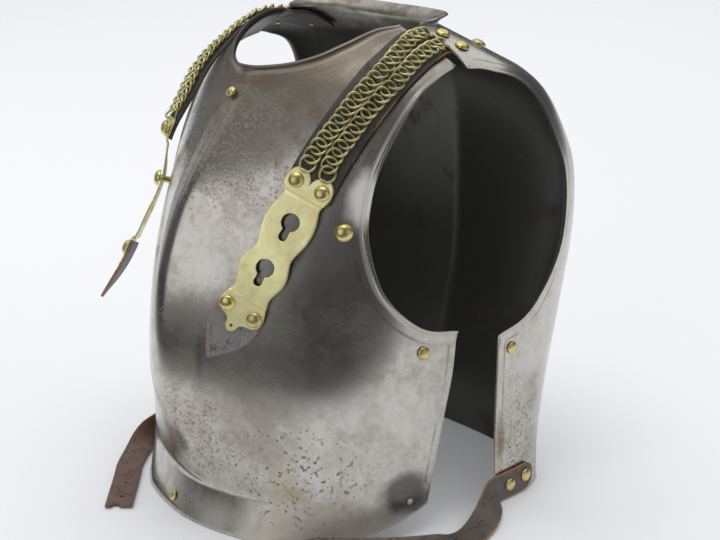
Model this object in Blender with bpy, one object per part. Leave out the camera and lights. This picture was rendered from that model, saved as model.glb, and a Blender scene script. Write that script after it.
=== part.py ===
"""A cavalry cuirass: steel breastplate and backplate, chain-faced shoulder straps and waist belt.

Axes: +Z is up, the wearer faces -Y and the wearer's left is +X. The cuirass stands on its lower
edges at z = 0, and x = 0 is the plane of symmetry of the two plates. The origin is the middle of
the backplate's foot.
Every size in this script is in millimetres. MM turns it into metres when a mesh is made. In the
tables y is measured from the front of the breastplate's foot, which is ORIGIN_Y from the origin.
"""

from math import atan2, cos, pi, radians, sin

import bmesh
import bpy
from mathutils import Matrix, Vector

MM = 0.001

# ---------------------------------------------------------------- walls and gaps
BREAST_WALL = 2.6
BACK_WALL = 2.0
LEATHER = 2.4
BRASS_SHEET = 1.6
GAP = 0.35
ORIGIN_Y = 332.3

# ---------------------------------------------------------------- plates, as horizontal sections
# Each row is one cubic Bezier curve from the middle of the plate (x = 0) to its side. It leaves
# the middle with a slope over a reach, and ends at the side running straight along Y over a reach.
# height, middle_y, slope, middle_reach, half_width, side_y, side_reach
BREAST_SECTIONS = (
    (20, 20, 0.02, 85, 164, 141, 80),
    (40, 13, 0.08, 84, 165, 144, 82),
    (75, -3, 0.28, 76, 167, 150, 86),
    (115, -22, 0.52, 64, 169, 158, 92),
    (150, -28, 0.62, 62, 171, 164, 90),
    (200, -26, 0.65, 62, 171, 168, 78),
    (250, -16, 0.64, 62, 169, 168, 66),
    (300, 5, 0.60, 62, 164, 169, 56),
    (350, 41, 0.50, 54, 155, 175, 52),
    (385, 70, 0.38, 46, 143, 190, 54),
    (402, 83, 0.32, 40, 131, 200, 52),
    (416, 96, 0.30, 36, 106, 196, 44),
    (430, 112, 0.30, 30, 78, 190, 36),
)
BACK_SECTIONS = (
    (-10, 336, 0.00, 92, 170, 262, 62),
    (30, 326, 0.06, 86, 168, 263, 64),
    (60, 325, 0.10, 85, 168, 264, 66),
    (110, 334, 0.20, 82, 170, 266, 74),
    (170, 346, 0.26, 80, 173, 270, 86),
    (240, 349, 0.26, 80, 177, 276, 96),
    (300, 347, 0.22, 80, 175, 276, 98),
    (340, 342, 0.16, 76, 169, 266, 90),
    (370, 329, 0.10, 66, 162, 254, 84),
    (390, 306, 0.04, 58, 153, 240, 74),
    (404, 284, 0.00, 52, 141, 224, 62),
    (416, 267, 0.00, 46, 122, 212, 52),
    (426, 255, 0.00, 38, 98, 206, 44),
    (434, 247, 0.00, 30, 74, 203, 36),
)
SIDE_EDGE_Y = 228.0
SIDE_EDGE_LEAN = 0.045
SHOULDER_EDGE_Y = 204.0
SHOULDER_START_Z = 300.0
STRAIGHT_RUN = 0.25

# Outlines on the faces of the plates. across is the place along the section, 0 in the middle and
# 1 at its side; from 1 to 1 + STRAIGHT_RUN it runs on along the backplate's straight side strip
# or shoulder. across, height
BREAST_MIDDLE = ((0, 33), (0, 150), (0, 382), (0, 394.5))
BREAST_CREASE = ((0, 33), (0.5, 37.5), (1, 52))
BREAST_NECK = ((0, 394.5), (0.11, 395), (0.25, 398.5), (0.37, 405), (0.516, 415), (0.74, 426), (1, 430))
BREAST_SIDE = ((1, 52), (1, 181))
BREAST_ARM = (
    (1, 181), (0.84, 190), (0.70, 220), (0.63, 262), (0.615, 295), (0.645, 333), (0.757, 378),
    (0.87, 396), (1, 403),
)
BREAST_SHOULDER = ((1, 403), (1, 416), (1, 430))
BACK_MIDDLE = ((0, -3), (0, 150), (0, 414), (0, 426))
BACK_FOOT = ((0, -3), (1, -3), (1.25, -3))
BACK_NECK = ((0, 426), (0.5, 427), (1, 430), (1.25, 430))
BACK_SIDE = ((1.25, -3), (1.25, 165))
BACK_ARM = (
    (1.25, 165), (1.1, 172), (1.0, 189), (0.922, 230), (0.90, 275), (0.90, 330), (0.909, 376),
    (0.95, 392), (1.075, 400), (1.25, 402),
)
BACK_SHOULDER = ((1.25, 402), (1.25, 416), (1.25, 430))

# ---------------------------------------------------------------- grid, edges and flange
COLUMNS = 10
SIDE_ROWS = 5
ARM_ROWS = 13
SHOULDER_ROWS = 2
RELAX_ROUNDS = 200
ROW_PULL = 5
FLANGE_ROWS = 3
ROLL_RADIUS = 3.0
ROLL_ANGLES = (35, 70, 95)
FLANGE_OUT_MIDDLE = 16.0
FLANGE_OUT_SIDE = 8.0
FLANGE_FOOT_MIDDLE = -1.0
FLANGE_SIDE_RISE = 27.0
FLANGE_DRAW_IN = 0.045
# Between these places along the section the flange fades into the plate
FLANGE_FADE = (0.3, 0.68)
FLANGE_FEELER = 4.0
COLLAR_WIDTH = 12.0
COLLAR_LEAN = 48.0
EDGE_SHARP = radians(35)

# ---------------------------------------------------------------- brass rivets and studs
# SEAT is the gap under a rivet's head. A rivet is placed by (across, height) on its plate.
SEAT = 0.5
PEEN_GAP = 1.0
RIDGE_GAP = 1.2
LINING_HEAD = 4.9
SIDE_HEAD = 5.8
LINING_SHANK = 2.0
# name, plate, across, height, mirrored too
LINING_RIVETS = (
    ("rivet_neck", "breastplate", 0.0, 379, False),
    ("rivet_side_breast", "breastplate", 0.865, 171, True),
    ("rivet_side_back", "backplate", 1.16, 150, True),
)
# On the flange: across, height of the crease there, share of the way down to the foot
FLANGE_RIVET = (0.11, 33.9, 0.7)
CORNER_RIVET = (0.905, 47.5, 0.42)
CORNER_HEAD = 2.8
CORNER_SHANK = 1.3
# Where each strap is riveted through the backplate's shoulder: x, y
SHOULDER_RIVETS = ((103, 215), (123, 218), (110, 253))
SHOULDER_HEAD = 6.5
SHOULDER_SHANK = 2.2
# The studs that the hook plates button onto: x, height
STUD_LEFT = (119.5, 277)
STUD_RIGHT = (104, 281)
STUD_NECK = 3.2
STUD_HEAD = 7.6
STUD_REACH = 10.0

# ---------------------------------------------------------------- shoulder straps
STRAP_HALF = 21.0
CHEST_LIFT = 0.8
# Under the backplate's shoulder: x, y, depth of the strap's upper face under the plate's
TONGUE_KNOTS = ((109, 263, 2.2), (107, 245, 2.0), (105, 227, 1.8), (104, 210, 1.7))
# Down the chest: x, height, lift off the plate
LEFT_CHEST_KNOTS = (
    (106, 415, 2.2), (109, 404, CHEST_LIFT), (107.5, 389, 1.4), (101.5, 359, 2.8), (94.5, 327, 4.2),
    (86, 283, 5.2), (76, 246, 5.2), (64, 210, 3.6), (45.5, 174, 1.6),
)
# The right strap arches off the chest, is held by its stud and hangs free beyond it.
RIGHT_CHEST_KNOTS = (
    (102, 415, 3.2), (100, 384, 5.2), (98, 352, 8.5), (99, 320, 11.5), (104, 281, 5.5),
    (102, 240, 15.0), (97, 207, 27.0), (91, 178, 43.0),
)
# Above its stud the right strap leans towards the neck: height, share of the lean
RIGHT_STRAP_LEAN = Vector((-0.15, 0.0, 0.13))
LEAN_STEPS = ((281, 0.0), (320, 0.8), (352, 1.0), (384, 1.0), (405, 0.7), (415, 0.3))
# Leather from the end of its tongue: distance, half_width, lift, droop
STRAP = ((0, 18, 0, 1.2), (4, 20, 0, 1.2), (56, 20, 0, 1.2), (66, 20, 0, 0.2), (80, STRAP_HALF, 0, 0.4))
PLATE_TO_LOBE_RIVETS = 9.0
LOBE_RIVET_PLACE = (92, 74, 312)

# Hook plate, from the tops of its lobes: distance, half_width, lift, droop
OVER_LEATHER = LEATHER + GAP
HOOK_PLATE = (
    (0, 12, OVER_LEATHER, 0), (2.5, 16.5, OVER_LEATHER, 0), (7, 19.5, OVER_LEATHER, 0),
    (12, 20.6, OVER_LEATHER, 0), (18, 18.2, OVER_LEATHER, 0), (20.5, 17.2, GAP, 0), (24, 17.2, GAP, 0),
    (31, 19.3, GAP, 0), (38, 20.8, GAP, 0), (46, 21.1, GAP, 0), (54, 20.3, GAP, 0), (62, 18, GAP, 0),
    (69.5, 16.3, GAP, 0), (77, 18.2, GAP, 0), (84, 20.5, GAP, 0), (91, 20.9, GAP, 0),
    (97, 19.6, GAP, 0), (103, 17.2, GAP, 0), (108, 16, GAP, 0), (115.5, 17.8, GAP, 0),
    (118, 18.8, OVER_LEATHER, 0),
    (124, 20, OVER_LEATHER, 0), (132, 19.6, OVER_LEATHER, 0), (135.5, 16, OVER_LEATHER, 0),
    (136.5, 6, OVER_LEATHER, 0), (139, 4.6, OVER_LEATHER, 0), (142.5, 6.4, OVER_LEATHER, 0),
    (145.5, 4.8, OVER_LEATHER, 0), (147, 1.5, OVER_LEATHER, 0),
)
STRAP_STOP = 16.0
LOBE_NOTCH = 4.0
KEYHOLES = (42.0, 85.0)
KEYHOLE_ROUND = 7.9
KEYHOLE_SLOT = 3.8
KEYHOLE_LENGTH = 17.0
PLATE_RIVETS = ((9, 12.2), (9, -12.2), (126.5, 13.2), (126.5, -13.2))
PLATE_HEAD = 6.6
PLATE_SHANK = 1.9
TAB_HOLE = (141.5, 1.4)
STRAP_TIP = (
    (119, 18.5, 0, 0.6), (126, 21, 0, 0.6), (138, 21.6, 0, 0.6), (148, 19.5, 0, 0.5),
    (158, 15.5, 0, 0.4), (167, 9.5, 0, 0.2), (174, 4.8, 0, 0), (178.5, 1.2, 0, 0),
)

# ---------------------------------------------------------------- chain rows on the straps
RING_RADIUS = 6.1
WIRE_RADIUS = 1.05
RING_SEGMENTS = 7
RING_PITCH = 8.0
RING_TWIST = 0.45
ROW_OFFSETS = {"inner": 7.2, "outer": -8.6}
CHAIN_LIFT = LEATHER + 0.9 + WIRE_RADIUS
SHOULDER_FRONT = (104, 204, 420)
CHAIN_START_GAP = 2.5
WELD_REACH = 0.03

# ---------------------------------------------------------------- waist belt
BELT_HALF = 12.5
# The riveted pad, on the backplate's outer face: across, height
PAD_KNOTS = ((0.93, 14.6), (0.985, 15.2), (1.09, 14.2), (1.225, 13.9))
PAD_LIFT = 0.9
PAD = ((0, 5, 0, 0), (3, 9.5, 0, 0), (9, 12.8, 0, 0), (48, 13, 0, 0), (60, BELT_HALF, 0, 0))
PAD_RIVETS = ((11, 1.0), (32.5, -0.5))
PAD_HEAD = 6.0
# The rest of each belt: x, y, z of its face towards the plate, and the outward normal there
BELT_LEFT_KNOTS = (
    ((173, 219, 13.6), (0.95, 0, 0.3)), ((184, 203, 10.6), (0.7, 0.1, 0.7)), ((194, 184, 5.6), (0.35, 0, 0.95)),
    ((202, 160, 2.8), (0.15, 0, 1)), ((206.5, 136, 5), (0.3, 0, 1)), ((204, 113, 9), (0.6, -0.2, 0.75)),
    ((193, 90, 10.6), (0.6, -0.4, 0.68)), ((174, 67, 10.5), (0.52, -0.52, 0.68)),
    ((153, 48, 10.4), (0.45, -0.58, 0.68)), ((139, 34, 9.2), (0.42, -0.45, 0.78)),
    ((130, 20, 5.4), (0.3, -0.15, 0.93)), ((125, 8, 1.9), (0.1, 0, 1)),
    ((121, -4, 0.7), (0, 0, 1)), ((112, -31, 0.7), (0, 0, 1)), ((103, -56, 0.7), (0, 0, 1)),
)
BELT_RIGHT_KNOTS = (
    ((-174, 212, 13.6), (-1, 0, 0)), ((-181, 180, 13.4), (-1, 0, 0)), ((-178, 140, 13.3), (-1, -0.1, 0)),
    ((-168, 104, 13.3), (-0.9, -0.4, 0)), ((-159, 81, 13.2), (-0.8, -0.5, -0.1)),
    ((-152, 65, 10.4), (-0.45, -0.4, -0.7)), ((-143, 47, 4.2), (-0.06, -0.06, -1)),
    ((-123, 24, 3.1), (0, 0, -1)), ((-102, 6, 3.1), (0, 0, -1)), ((-57, -34, 3.1), (0, 0, -1)),
)
BELT_HOLES = ((18, 1.6), (46, 1.6))
BELT_NOTCH = 4.5

# The plain buckle at the end of the left belt: distance, half_width, lift, droop
BUCKLE_SHEET = 2.6
BUCKLE = (
    (-16, 8, OVER_LEATHER, 0), (-14, 10, OVER_LEATHER, 0), (2, 10, OVER_LEATHER, 0), (6, 18, GAP, 0),
    (30, 18, GAP, 0), (33, 14, GAP, 0),
)
BUCKLE_OPENING = ((9, -14), (28, -14), (28, 14), (9, 14), (9, 2), (26, 2), (26, -2), (9, -2))
BUCKLE_RIVET = -8.0
BUCKLE_REACH = 35.0


def row_at(table, height):
    """The row of a table of sections at any height, on a smooth curve through its rows."""
    last = len(table) - 2
    k = 0
    while k < last and height > table[k + 1][0]:
        k += 1
    below, above = table[k], table[k + 1]
    before = table[max(k - 1, 0)]
    after = table[min(k + 2, last + 1)]
    span = above[0] - below[0]
    u = (height - below[0]) / span
    values = []
    for column in range(1, len(below)):
        rise_0 = (above[column] - before[column]) / (above[0] - before[0]) * span
        rise_1 = (after[column] - below[column]) / (after[0] - below[0]) * span
        values.append(
            (2 * u**3 - 3 * u**2 + 1) * below[column]
            + (u**3 - 2 * u**2 + u) * rise_0
            + (3 * u**2 - 2 * u**3) * above[column]
            + (u**3 - u**2) * rise_1
        )
    return values


def section_point(table, across, height, side):
    """A point of one section. side is +1 where the side runs back and -1 where it runs forward."""
    middle_y, slope, middle_reach, half_width, side_y, side_reach = row_at(table, height)
    weights = (
        (1 - across) ** 3,
        3 * across * (1 - across) ** 2,
        3 * across**2 * (1 - across),
        across**3,
    )
    xs = (0, middle_reach, half_width, half_width)
    ys = (middle_y, middle_y + slope * middle_reach, side_y - side * side_reach, side_y)
    x = sum(w * v for w, v in zip(weights, xs))
    y = sum(w * v for w, v in zip(weights, ys))
    return Vector((x, y - ORIGIN_Y, height))


def breast_point(across, height):
    return section_point(BREAST_SECTIONS, across, height, 1)


def back_point(across, height):
    if across <= 1:
        return section_point(BACK_SECTIONS, across, height, -1)
    point = section_point(BACK_SECTIONS, 1, height, -1)
    side_edge = SIDE_EDGE_Y - SIDE_EDGE_LEAN * height
    edge_y = SHOULDER_EDGE_Y if height > SHOULDER_START_Z else side_edge
    point.y += (edge_y - ORIGIN_Y - point.y) * (across - 1) / STRAIGHT_RUN
    return point


def face_normal(surface, across, height):
    """The outward normal of a plate's outer face."""
    step = 0.004
    low = max(across - step, 0)
    along = surface(across + step, height) - surface(low, height)
    up = surface(across, height + 1) - surface(across, height - 1)
    normal = along.cross(up)
    if across == 0:
        normal.x = 0
    return -normal.normalized() if surface is back_point else normal.normalized()


def across_at(surface, x, height):
    """The place along the section at this height whose distance from the middle is x."""
    low, high = 0.0, 1.0
    for _ in range(30):
        half = (low + high) / 2
        if surface(half, height).x < x:
            low = half
        else:
            high = half
    return low


def chest_place(x, height):
    """(point, normal) of the breastplate's outer face at this distance from the middle."""
    across = across_at(breast_point, x, height)
    return breast_point(across, height), face_normal(breast_point, across, height)


def shoulder_place(x, y):
    """(point, normal) of the backplate's outer face over a place in plan."""
    low, high = 380.0, 434.0
    for _ in range(30):
        half = (low + high) / 2
        if back_point(across_at(back_point, x, half), half).y + ORIGIN_Y > y:
            low = half
        else:
            high = half
    across = across_at(back_point, x, low)
    return back_point(across, low), face_normal(back_point, across, low)


def smooth_curve(points, per_span=8):
    """A Catmull-Rom curve through points of any dimension, as a list of Vectors."""
    knots = [Vector(p) for p in points]
    curve = []
    for k in range(len(knots) - 1):
        start, end = knots[k], knots[k + 1]
        before = knots[k - 1] if k else start * 2 - end
        after = knots[k + 2] if k + 2 < len(knots) else end * 2 - start
        for step in range(per_span):
            u = step / per_span
            curve.append(
                0.5
                * (
                    2 * start
                    + (end - before) * u
                    + (2 * before - 5 * start + 4 * end - after) * u**2
                    + (3 * start - before - 3 * end + after) * u**3
                )
            )
    curve.append(knots[-1])
    return curve


def spaced(points, count, place):
    """count + 1 points along a curve, at even distances where place puts them in space."""
    lengths = [0.0]
    for a, b in zip(points[:-1], points[1:]):
        lengths.append(lengths[-1] + (place(b) - place(a)).length)
    result = []
    k = 0
    for step in range(count + 1):
        wanted = lengths[-1] * step / count
        while k < len(lengths) - 2 and lengths[k + 1] < wanted:
            k += 1
        part = (wanted - lengths[k]) / (lengths[k + 1] - lengths[k])
        result.append(points[k].lerp(points[k + 1], part))
    return result


def outline(surface, points, count):
    """An outline on a plate's face, cut into count even steps."""
    return spaced(smooth_curve(points), count, lambda p: surface(p[0], p[1]))


def relaxed_grid(bottom, top, left, right):
    """Face coordinates inside four outlines that share their corners.

    Each inner point is brought to the mean of its neighbours, of which the two in its row count
    more, so that no rows or columns cross where an outline bends inwards.
    """
    columns, rows = len(bottom) - 1, len(left) - 1
    grid = [bottom]
    for r in range(1, rows):
        inner = [left[r].lerp(right[r], c / columns) for c in range(1, columns)]
        grid.append([left[r], *inner, right[r]])
    grid.append(top)
    for _ in range(RELAX_ROUNDS):
        for r in range(1, rows):
            for c in range(1, columns):
                along_row = grid[r][c - 1] + grid[r][c + 1]
                along_column = grid[r - 1][c] + grid[r + 1][c]
                grid[r][c] = (along_row * ROW_PULL + along_column) / (2 * ROW_PULL + 2)
    return grid


def joined_outline(surface, outlines):
    """The outlines from the foot to the neck, cut into the steps of the side, arm and shoulder."""
    line = [Vector(outlines[0][0])]
    for points, count in zip(outlines, (SIDE_ROWS, ARM_ROWS, SHOULDER_ROWS)):
        line += outline(surface, points, count)[1:]
    return line


def plate_grid(surface, middle, foot, neck, side, arm, shoulder):
    """Rows of face coordinates from the foot of half a plate to its neck."""
    left = joined_outline(surface, list(zip(middle[:-1], middle[1:])))
    right = joined_outline(surface, (side, arm, shoulder))
    bottom = outline(surface, foot, COLUMNS)
    top = outline(surface, neck, COLUMNS)
    return relaxed_grid(bottom, top, left, right)


def taper(step, count):
    """1 along most of an edge, falling to a little at both its ends."""
    return max(0.12, min(1.0, 3.0 * min(step, count - step) / count))


def rolled_rows(edge, outward, normals, fade):
    """Rows of points past an edge, on a small arc that turns out from the face."""
    rows = []
    for angle in ROLL_ANGLES:
        turn = radians(angle)
        row = []
        for point, out, normal, share in zip(edge, outward, normals, fade):
            radius = ROLL_RADIUS * share
            row.append(point + out * radius * sin(turn) + normal * radius * (1 - cos(turn)))
        rows.append(row)
    return rows


def edge_directions(surface, line, turn):
    """(points, outward, normals) of an outline: outward lies in the face, square to the edge."""
    points = [surface(p[0], p[1]) for p in line]
    normals = [face_normal(surface, p[0], p[1]) for p in line]
    outward = []
    for k, normal in enumerate(normals):
        ahead = points[min(k + 1, len(points) - 1)]
        behind = points[max(k - 1, 0)]
        outward.append((ahead - behind).cross(normal).normalized() * turn)
    return points, outward, normals


# ---------------------------------------------------------------- materials and objects
# name, colour, metallic, roughness
FINISHES = (
    ("steel", (0.52, 0.50, 0.48), 1.0, 0.32),
    ("brass", (0.66, 0.56, 0.30), 1.0, 0.34),
    ("strap_leather", (0.075, 0.062, 0.055), 0.0, 0.62),
    ("belt_leather", (0.13, 0.085, 0.065), 0.0, 0.66),
)


def make_material(name, colour, metallic, roughness):
    material = bpy.data.materials.new(name)
    material.use_nodes = True
    shader = material.node_tree.nodes["Principled BSDF"]
    shader.inputs["Base Color"].default_value = (*colour, 1.0)
    shader.inputs["Metallic"].default_value = metallic
    shader.inputs["Roughness"].default_value = roughness
    return material


def make_object(name, bm, finish):
    """Turns a bmesh in millimetres into a named object in metres, with its own material."""
    bmesh.ops.scale(bm, vec=(MM, MM, MM), verts=bm.verts)
    mesh = bpy.data.meshes.new(name)
    bm.to_mesh(mesh)
    bm.free()
    row = next(row for row in FINISHES if row[0] == finish)
    mesh.materials.append(make_material(name + "_" + finish, *row[1:]))
    made = bpy.data.objects.new(name, mesh)
    bpy.context.scene.collection.objects.link(made)
    return made


def make_cutter(name, bm):
    """A shape that only cuts others: drawn as wires and left out of renders."""
    cutter = make_object(name, bm, "steel")
    cutter.hide_render = True
    cutter.display_type = "WIRE"
    return cutter


def add_boolean(target, cutter, operation="DIFFERENCE"):
    modifier = target.modifiers.new(cutter.name, "BOOLEAN")
    modifier.operation = operation
    modifier.solver = "EXACT"
    modifier.object = cutter
    return modifier


def add_wall(target, thickness):
    modifier = target.modifiers.new("wall", "SOLIDIFY")
    modifier.thickness = thickness * MM
    modifier.offset = -1
    modifier.use_even_offset = True
    return modifier


def shade_smooth(target):
    target.data.shade_smooth()
    target.data.set_sharp_from_angle(angle=EDGE_SHARP)


def bridge(bm, row_a, row_b, flip):
    """Quads between two rows of vertices of the same length."""
    for k in range(len(row_a) - 1):
        corners = (row_a[k], row_a[k + 1], row_b[k + 1], row_b[k])
        bm.faces.new(corners[::-1] if flip else corners)


def frame_matrix(point, normal, along):
    """A matrix whose Z is the normal and whose X is as near to along as it can be."""
    z = normal.normalized()
    y = z.cross(along).normalized()
    x = y.cross(z)
    matrix = Matrix((x, y, z)).transposed().to_4x4()
    matrix.translation = point
    return matrix


# ---------------------------------------------------------------- the two plates
def flange_flare(across):
    """1 where the flange turns out, falling smoothly to 0 where it runs straight on at the side."""
    begin, end = FLANGE_FADE
    share = min(1.0, max(0.0, (across - begin) / (end - begin)))
    return 1 - share * share * (3 - 2 * share)


def flange_point(across, crease, share):
    """A point of the flange's outer face: share runs from 0 at the crease to 1 at the foot."""
    flare = flange_flare(across)
    place = across * (1 - FLANGE_DRAW_IN * share * flare)
    start = breast_point(place, crease)
    normal = face_normal(breast_point, place, crease)
    level = Vector((normal.x, normal.y, 0)).normalized()
    out = FLANGE_OUT_MIDDLE + (FLANGE_OUT_SIDE - FLANGE_OUT_MIDDLE) * across
    foot = FLANGE_FOOT_MIDDLE + FLANGE_SIDE_RISE * across**3
    drop = (crease - foot) * share
    straight = start + (start - breast_point(place, crease + FLANGE_FEELER)) * drop / FLANGE_FEELER
    flared = start + level * out * share - Vector((0, 0, drop))
    return straight.lerp(flared, flare)


def flange_rows(crease_line):
    """Rows of points from the foot of the flange up to just under the waist crease."""
    rows = []
    for step in range(FLANGE_ROWS, 0, -1):
        share = step / FLANGE_ROWS
        row = [flange_point(across, crease, share) for across, crease in crease_line]
        row[0].x = 0
        rows.append(row)
    return rows


def collar_rows(edge, outward):
    """Rows of points of the backplate's collar, which leans out from the neck edge."""
    lean = radians(COLLAR_LEAN)
    count = len(edge) - 1
    rows = []
    for share in (0.3, 1.0):
        row = []
        for step, (point, out) in enumerate(zip(edge, outward)):
            away = -Vector((out.x, out.y, 0)).normalized()
            bend = lean * (0.35 + 0.65 * share)
            width = COLLAR_WIDTH * min(1.0, 0.15 + 3.2 * (count - step) / count)
            row.append(point + (Vector((0, 0, cos(bend))) + away * sin(bend)) * width * share)
        row[0].x = 0
        rows.append(row)
    return rows


def build_plate(name, surface, outlines, wall, holes):
    """One plate: half its outer face, mirrored, given a wall, cut level at the foot and drilled."""
    flip = surface is back_point
    grid = plate_grid(surface, *outlines)
    bm = bmesh.new()
    points = [[surface(p[0], p[1]) for p in row] for row in grid]
    for row in points:
        row[0].x = 0
    if surface is breast_point:
        points = flange_rows(grid[0]) + points
    body = [[bm.verts.new(p) for p in row] for row in points]
    for below, above in zip(body[:-1], body[1:]):
        bridge(bm, below, above, flip)
    edge, outward, normals = edge_directions(surface, grid[-1], 1 if flip else -1)
    if flip:
        extra = collar_rows(edge, outward)
    else:
        fade = [min(1.0, 0.12 + 3.0 * (COLUMNS - k) / COLUMNS) for k in range(COLUMNS + 1)]
        extra = rolled_rows(edge, outward, normals, fade)
    row = body[-1]
    for line in extra:
        line[0].x = 0
        above = [bm.verts.new(p) for p in line]
        bridge(bm, row, above, flip)
        row = above
    arm_line = [line[-1] for line in grid[SIDE_ROWS : SIDE_ROWS + ARM_ROWS + 1]]
    edge, outward, normals = edge_directions(surface, arm_line, -1 if flip else 1)
    fade = [taper(k, ARM_ROWS) for k in range(ARM_ROWS + 1)]
    column = [line[-1] for line in body[-len(arm_line) - SHOULDER_ROWS : -SHOULDER_ROWS]]
    for line in rolled_rows(edge, outward, normals, fade):
        beyond = [bm.verts.new(p) for p in line]
        bridge(bm, beyond, column, flip)
        column = beyond
    plate = make_object(name, bm, "steel")
    mirror = plate.modifiers.new("other half", "MIRROR")
    mirror.merge_threshold = 0.0001
    add_wall(plate, wall)
    add_boolean(plate, holes)
    shade_smooth(plate)
    return plate


# ---------------------------------------------------------------- routes and ribbons
class Route:
    """A smooth line through knots of (point, normal), read by its distance from the start."""

    def __init__(self, knots):
        self.curve = smooth_curve([(*point, *normal) for point, normal in knots])
        self.distances = [0.0]
        for a, b in zip(self.curve[:-1], self.curve[1:]):
            self.distances.append(self.distances[-1] + (Vector(b[:3]) - Vector(a[:3])).length)
        self.length = self.distances[-1]

    def frame(self, distance):
        """(point, along, side, normal) at a distance along the line."""
        k = 0
        while k < len(self.curve) - 2 and self.distances[k + 1] < distance:
            k += 1
        start, end = self.curve[k], self.curve[k + 1]
        share = (distance - self.distances[k]) / (self.distances[k + 1] - self.distances[k])
        values = start + (end - start) * share
        along = (Vector(end[:3]) - Vector(start[:3])).normalized()
        side = along.cross(Vector(values[3:])).normalized()
        return Vector(values[:3]), along, side, side.cross(along)

    def point(self, distance, across, height):
        middle, _, side, normal = self.frame(distance)
        return middle + side * across + normal * height

    def nearest(self, goal):
        """The distance along the line at which it passes nearest to a point."""
        gaps = [(Vector(p[:3]) - goal).length for p in self.curve]
        return self.distances[gaps.index(min(gaps))]


def ribbon(bm, route, stations, thickness, cuts=4):
    """A closed strip along a route: stations of (distance, half_width, height, droop).

    height is that of its lower face in the middle; droop lowers its two long edges.
    """
    rings = []
    for distance, half_width, height, droop in stations:
        shares = [2 * k / cuts - 1 for k in range(cuts + 1)]
        lower = [(half_width * share, height - droop * share * share) for share in shares]
        upper = [(across, level + thickness) for across, level in reversed(lower)]
        rings.append([bm.verts.new(route.point(distance, *place)) for place in lower + upper])
    count = len(rings[0])
    for ring, after in zip(rings[:-1], rings[1:]):
        for k in range(count):
            bm.faces.new((ring[k], ring[(k + 1) % count], after[(k + 1) % count], after[k]))
    for ring, turned in ((rings[0], True), (rings[-1], False)):
        for k in range(cuts):
            corners = (ring[k], ring[k + 1], ring[count - 2 - k], ring[count - 1 - k])
            bm.faces.new(corners[::-1] if turned else corners)
    bmesh.ops.recalc_face_normals(bm, faces=bm.faces)


def table_stations(table, step):
    """Stations at even distances, read from a table of (distance, half_width, height, droop)."""
    start, end = table[0][0], table[-1][0]
    distances = {row[0] for row in table}
    count = max(1, round((end - start) / step))
    distances |= {start + (end - start) * k / count for k in range(count + 1)}
    stations = []
    for distance in sorted(distances):
        k = 0
        while k < len(table) - 2 and table[k + 1][0] < distance:
            k += 1
        low, high = table[k], table[k + 1]
        share = (distance - low[0]) / (high[0] - low[0])
        if not stations or distance - stations[-1][0] > 0.5:
            stations.append([a + (b - a) * share for a, b in zip(low, high)])
    return stations


# ---------------------------------------------------------------- rivets, studs and rings
def lathe(bm, profile, matrix, segments=8):
    """A closed turned shape: profile of (radius, height), from the top of its axis to its foot."""
    rings = []
    for radius, height in profile:
        if radius == 0:
            rings.append([bm.verts.new(matrix @ Vector((0, 0, height)))])
            continue
        turns = [2 * pi * k / segments for k in range(segments)]
        points = [Vector((radius * cos(t), radius * sin(t), height)) for t in turns]
        rings.append([bm.verts.new(matrix @ p) for p in points])
    for ring, after in zip(rings[:-1], rings[1:]):
        for k in range(segments):
            ahead = (k + 1) % segments
            corners = [ring[k % len(ring)], after[k % len(after)]]
            corners += [after[ahead % len(after)], ring[ahead % len(ring)]]
            bm.faces.new(list(dict.fromkeys(corners)))
    bmesh.ops.recalc_face_normals(bm, faces=bm.faces)


def rivet_profile(head, shank, depth, peened):
    """A domed head on a shank: head and shank radii, and the depth of what it holds together."""
    rise = head * 0.55
    foot = -depth - PEEN_GAP
    profile = [(0, SEAT + rise), (head * 0.68, SEAT + rise * 0.72)]
    profile += [(head, SEAT), (shank, SEAT)]
    if peened:
        profile += [(shank, foot), (shank * 1.5, foot), (shank * 1.2, foot - 1.2), (0, foot - 1.2)]
    else:
        profile += [(shank, SEAT - depth), (0, SEAT - depth)]
    return profile


def add_rivet(name, matrix, head, shank, depth, peened=True, finish="brass"):
    bm = bmesh.new()
    lathe(bm, rivet_profile(head, shank, depth, peened), matrix)
    shade_smooth(make_object(name, bm, finish))


def drill(bm, matrix, shank, reach):
    """Adds to a cutter the hole in which a shank has its gap."""
    radius = shank + GAP
    lathe(bm, [(0, reach), (radius, reach), (radius, -reach), (0, -reach)], matrix)


def ring_row(bm, route, places, across, height):
    """Stiff rings of wire along a route, each twisted so that it passes over one neighbour."""
    for distance in places:
        centre = route.point(distance, across, height)
        _, along, side, normal = route.frame(distance)
        rings = []
        for k in range(RING_SEGMENTS):
            turn = 2 * pi * k / RING_SEGMENTS
            out = along * cos(turn) + side * sin(turn)
            section = []
            for corner in range(3):
                lean = 2 * pi * corner / 3 + pi / 2
                radius = RING_RADIUS + WIRE_RADIUS * cos(lean)
                level = RING_TWIST * sin(2 * turn) + WIRE_RADIUS * sin(lean)
                section.append(bm.verts.new(centre + out * radius + normal * level))
            rings.append(section)
        for k in range(RING_SEGMENTS):
            here, ahead = rings[k], rings[(k + 1) % RING_SEGMENTS]
            for c in range(3):
                bm.faces.new((here[c], here[(c + 1) % 3], ahead[(c + 1) % 3], ahead[c]))
    bmesh.ops.recalc_face_normals(bm, faces=bm.faces)


def prism(bm, route, outline_points, low, high):
    """A closed solid over an outline of (distance, across) laid along a route."""
    floor = [bm.verts.new(route.point(d, across, low)) for d, across in outline_points]
    roof = [bm.verts.new(route.point(d, across, high)) for d, across in outline_points]
    count = len(floor)
    for k in range(count):
        bm.faces.new((floor[k], floor[(k + 1) % count], roof[(k + 1) % count], roof[k]))
    bm.faces.new(floor[::-1])
    bm.faces.new(roof)
    bmesh.ops.recalc_face_normals(bm, faces=bm.faces)


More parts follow.
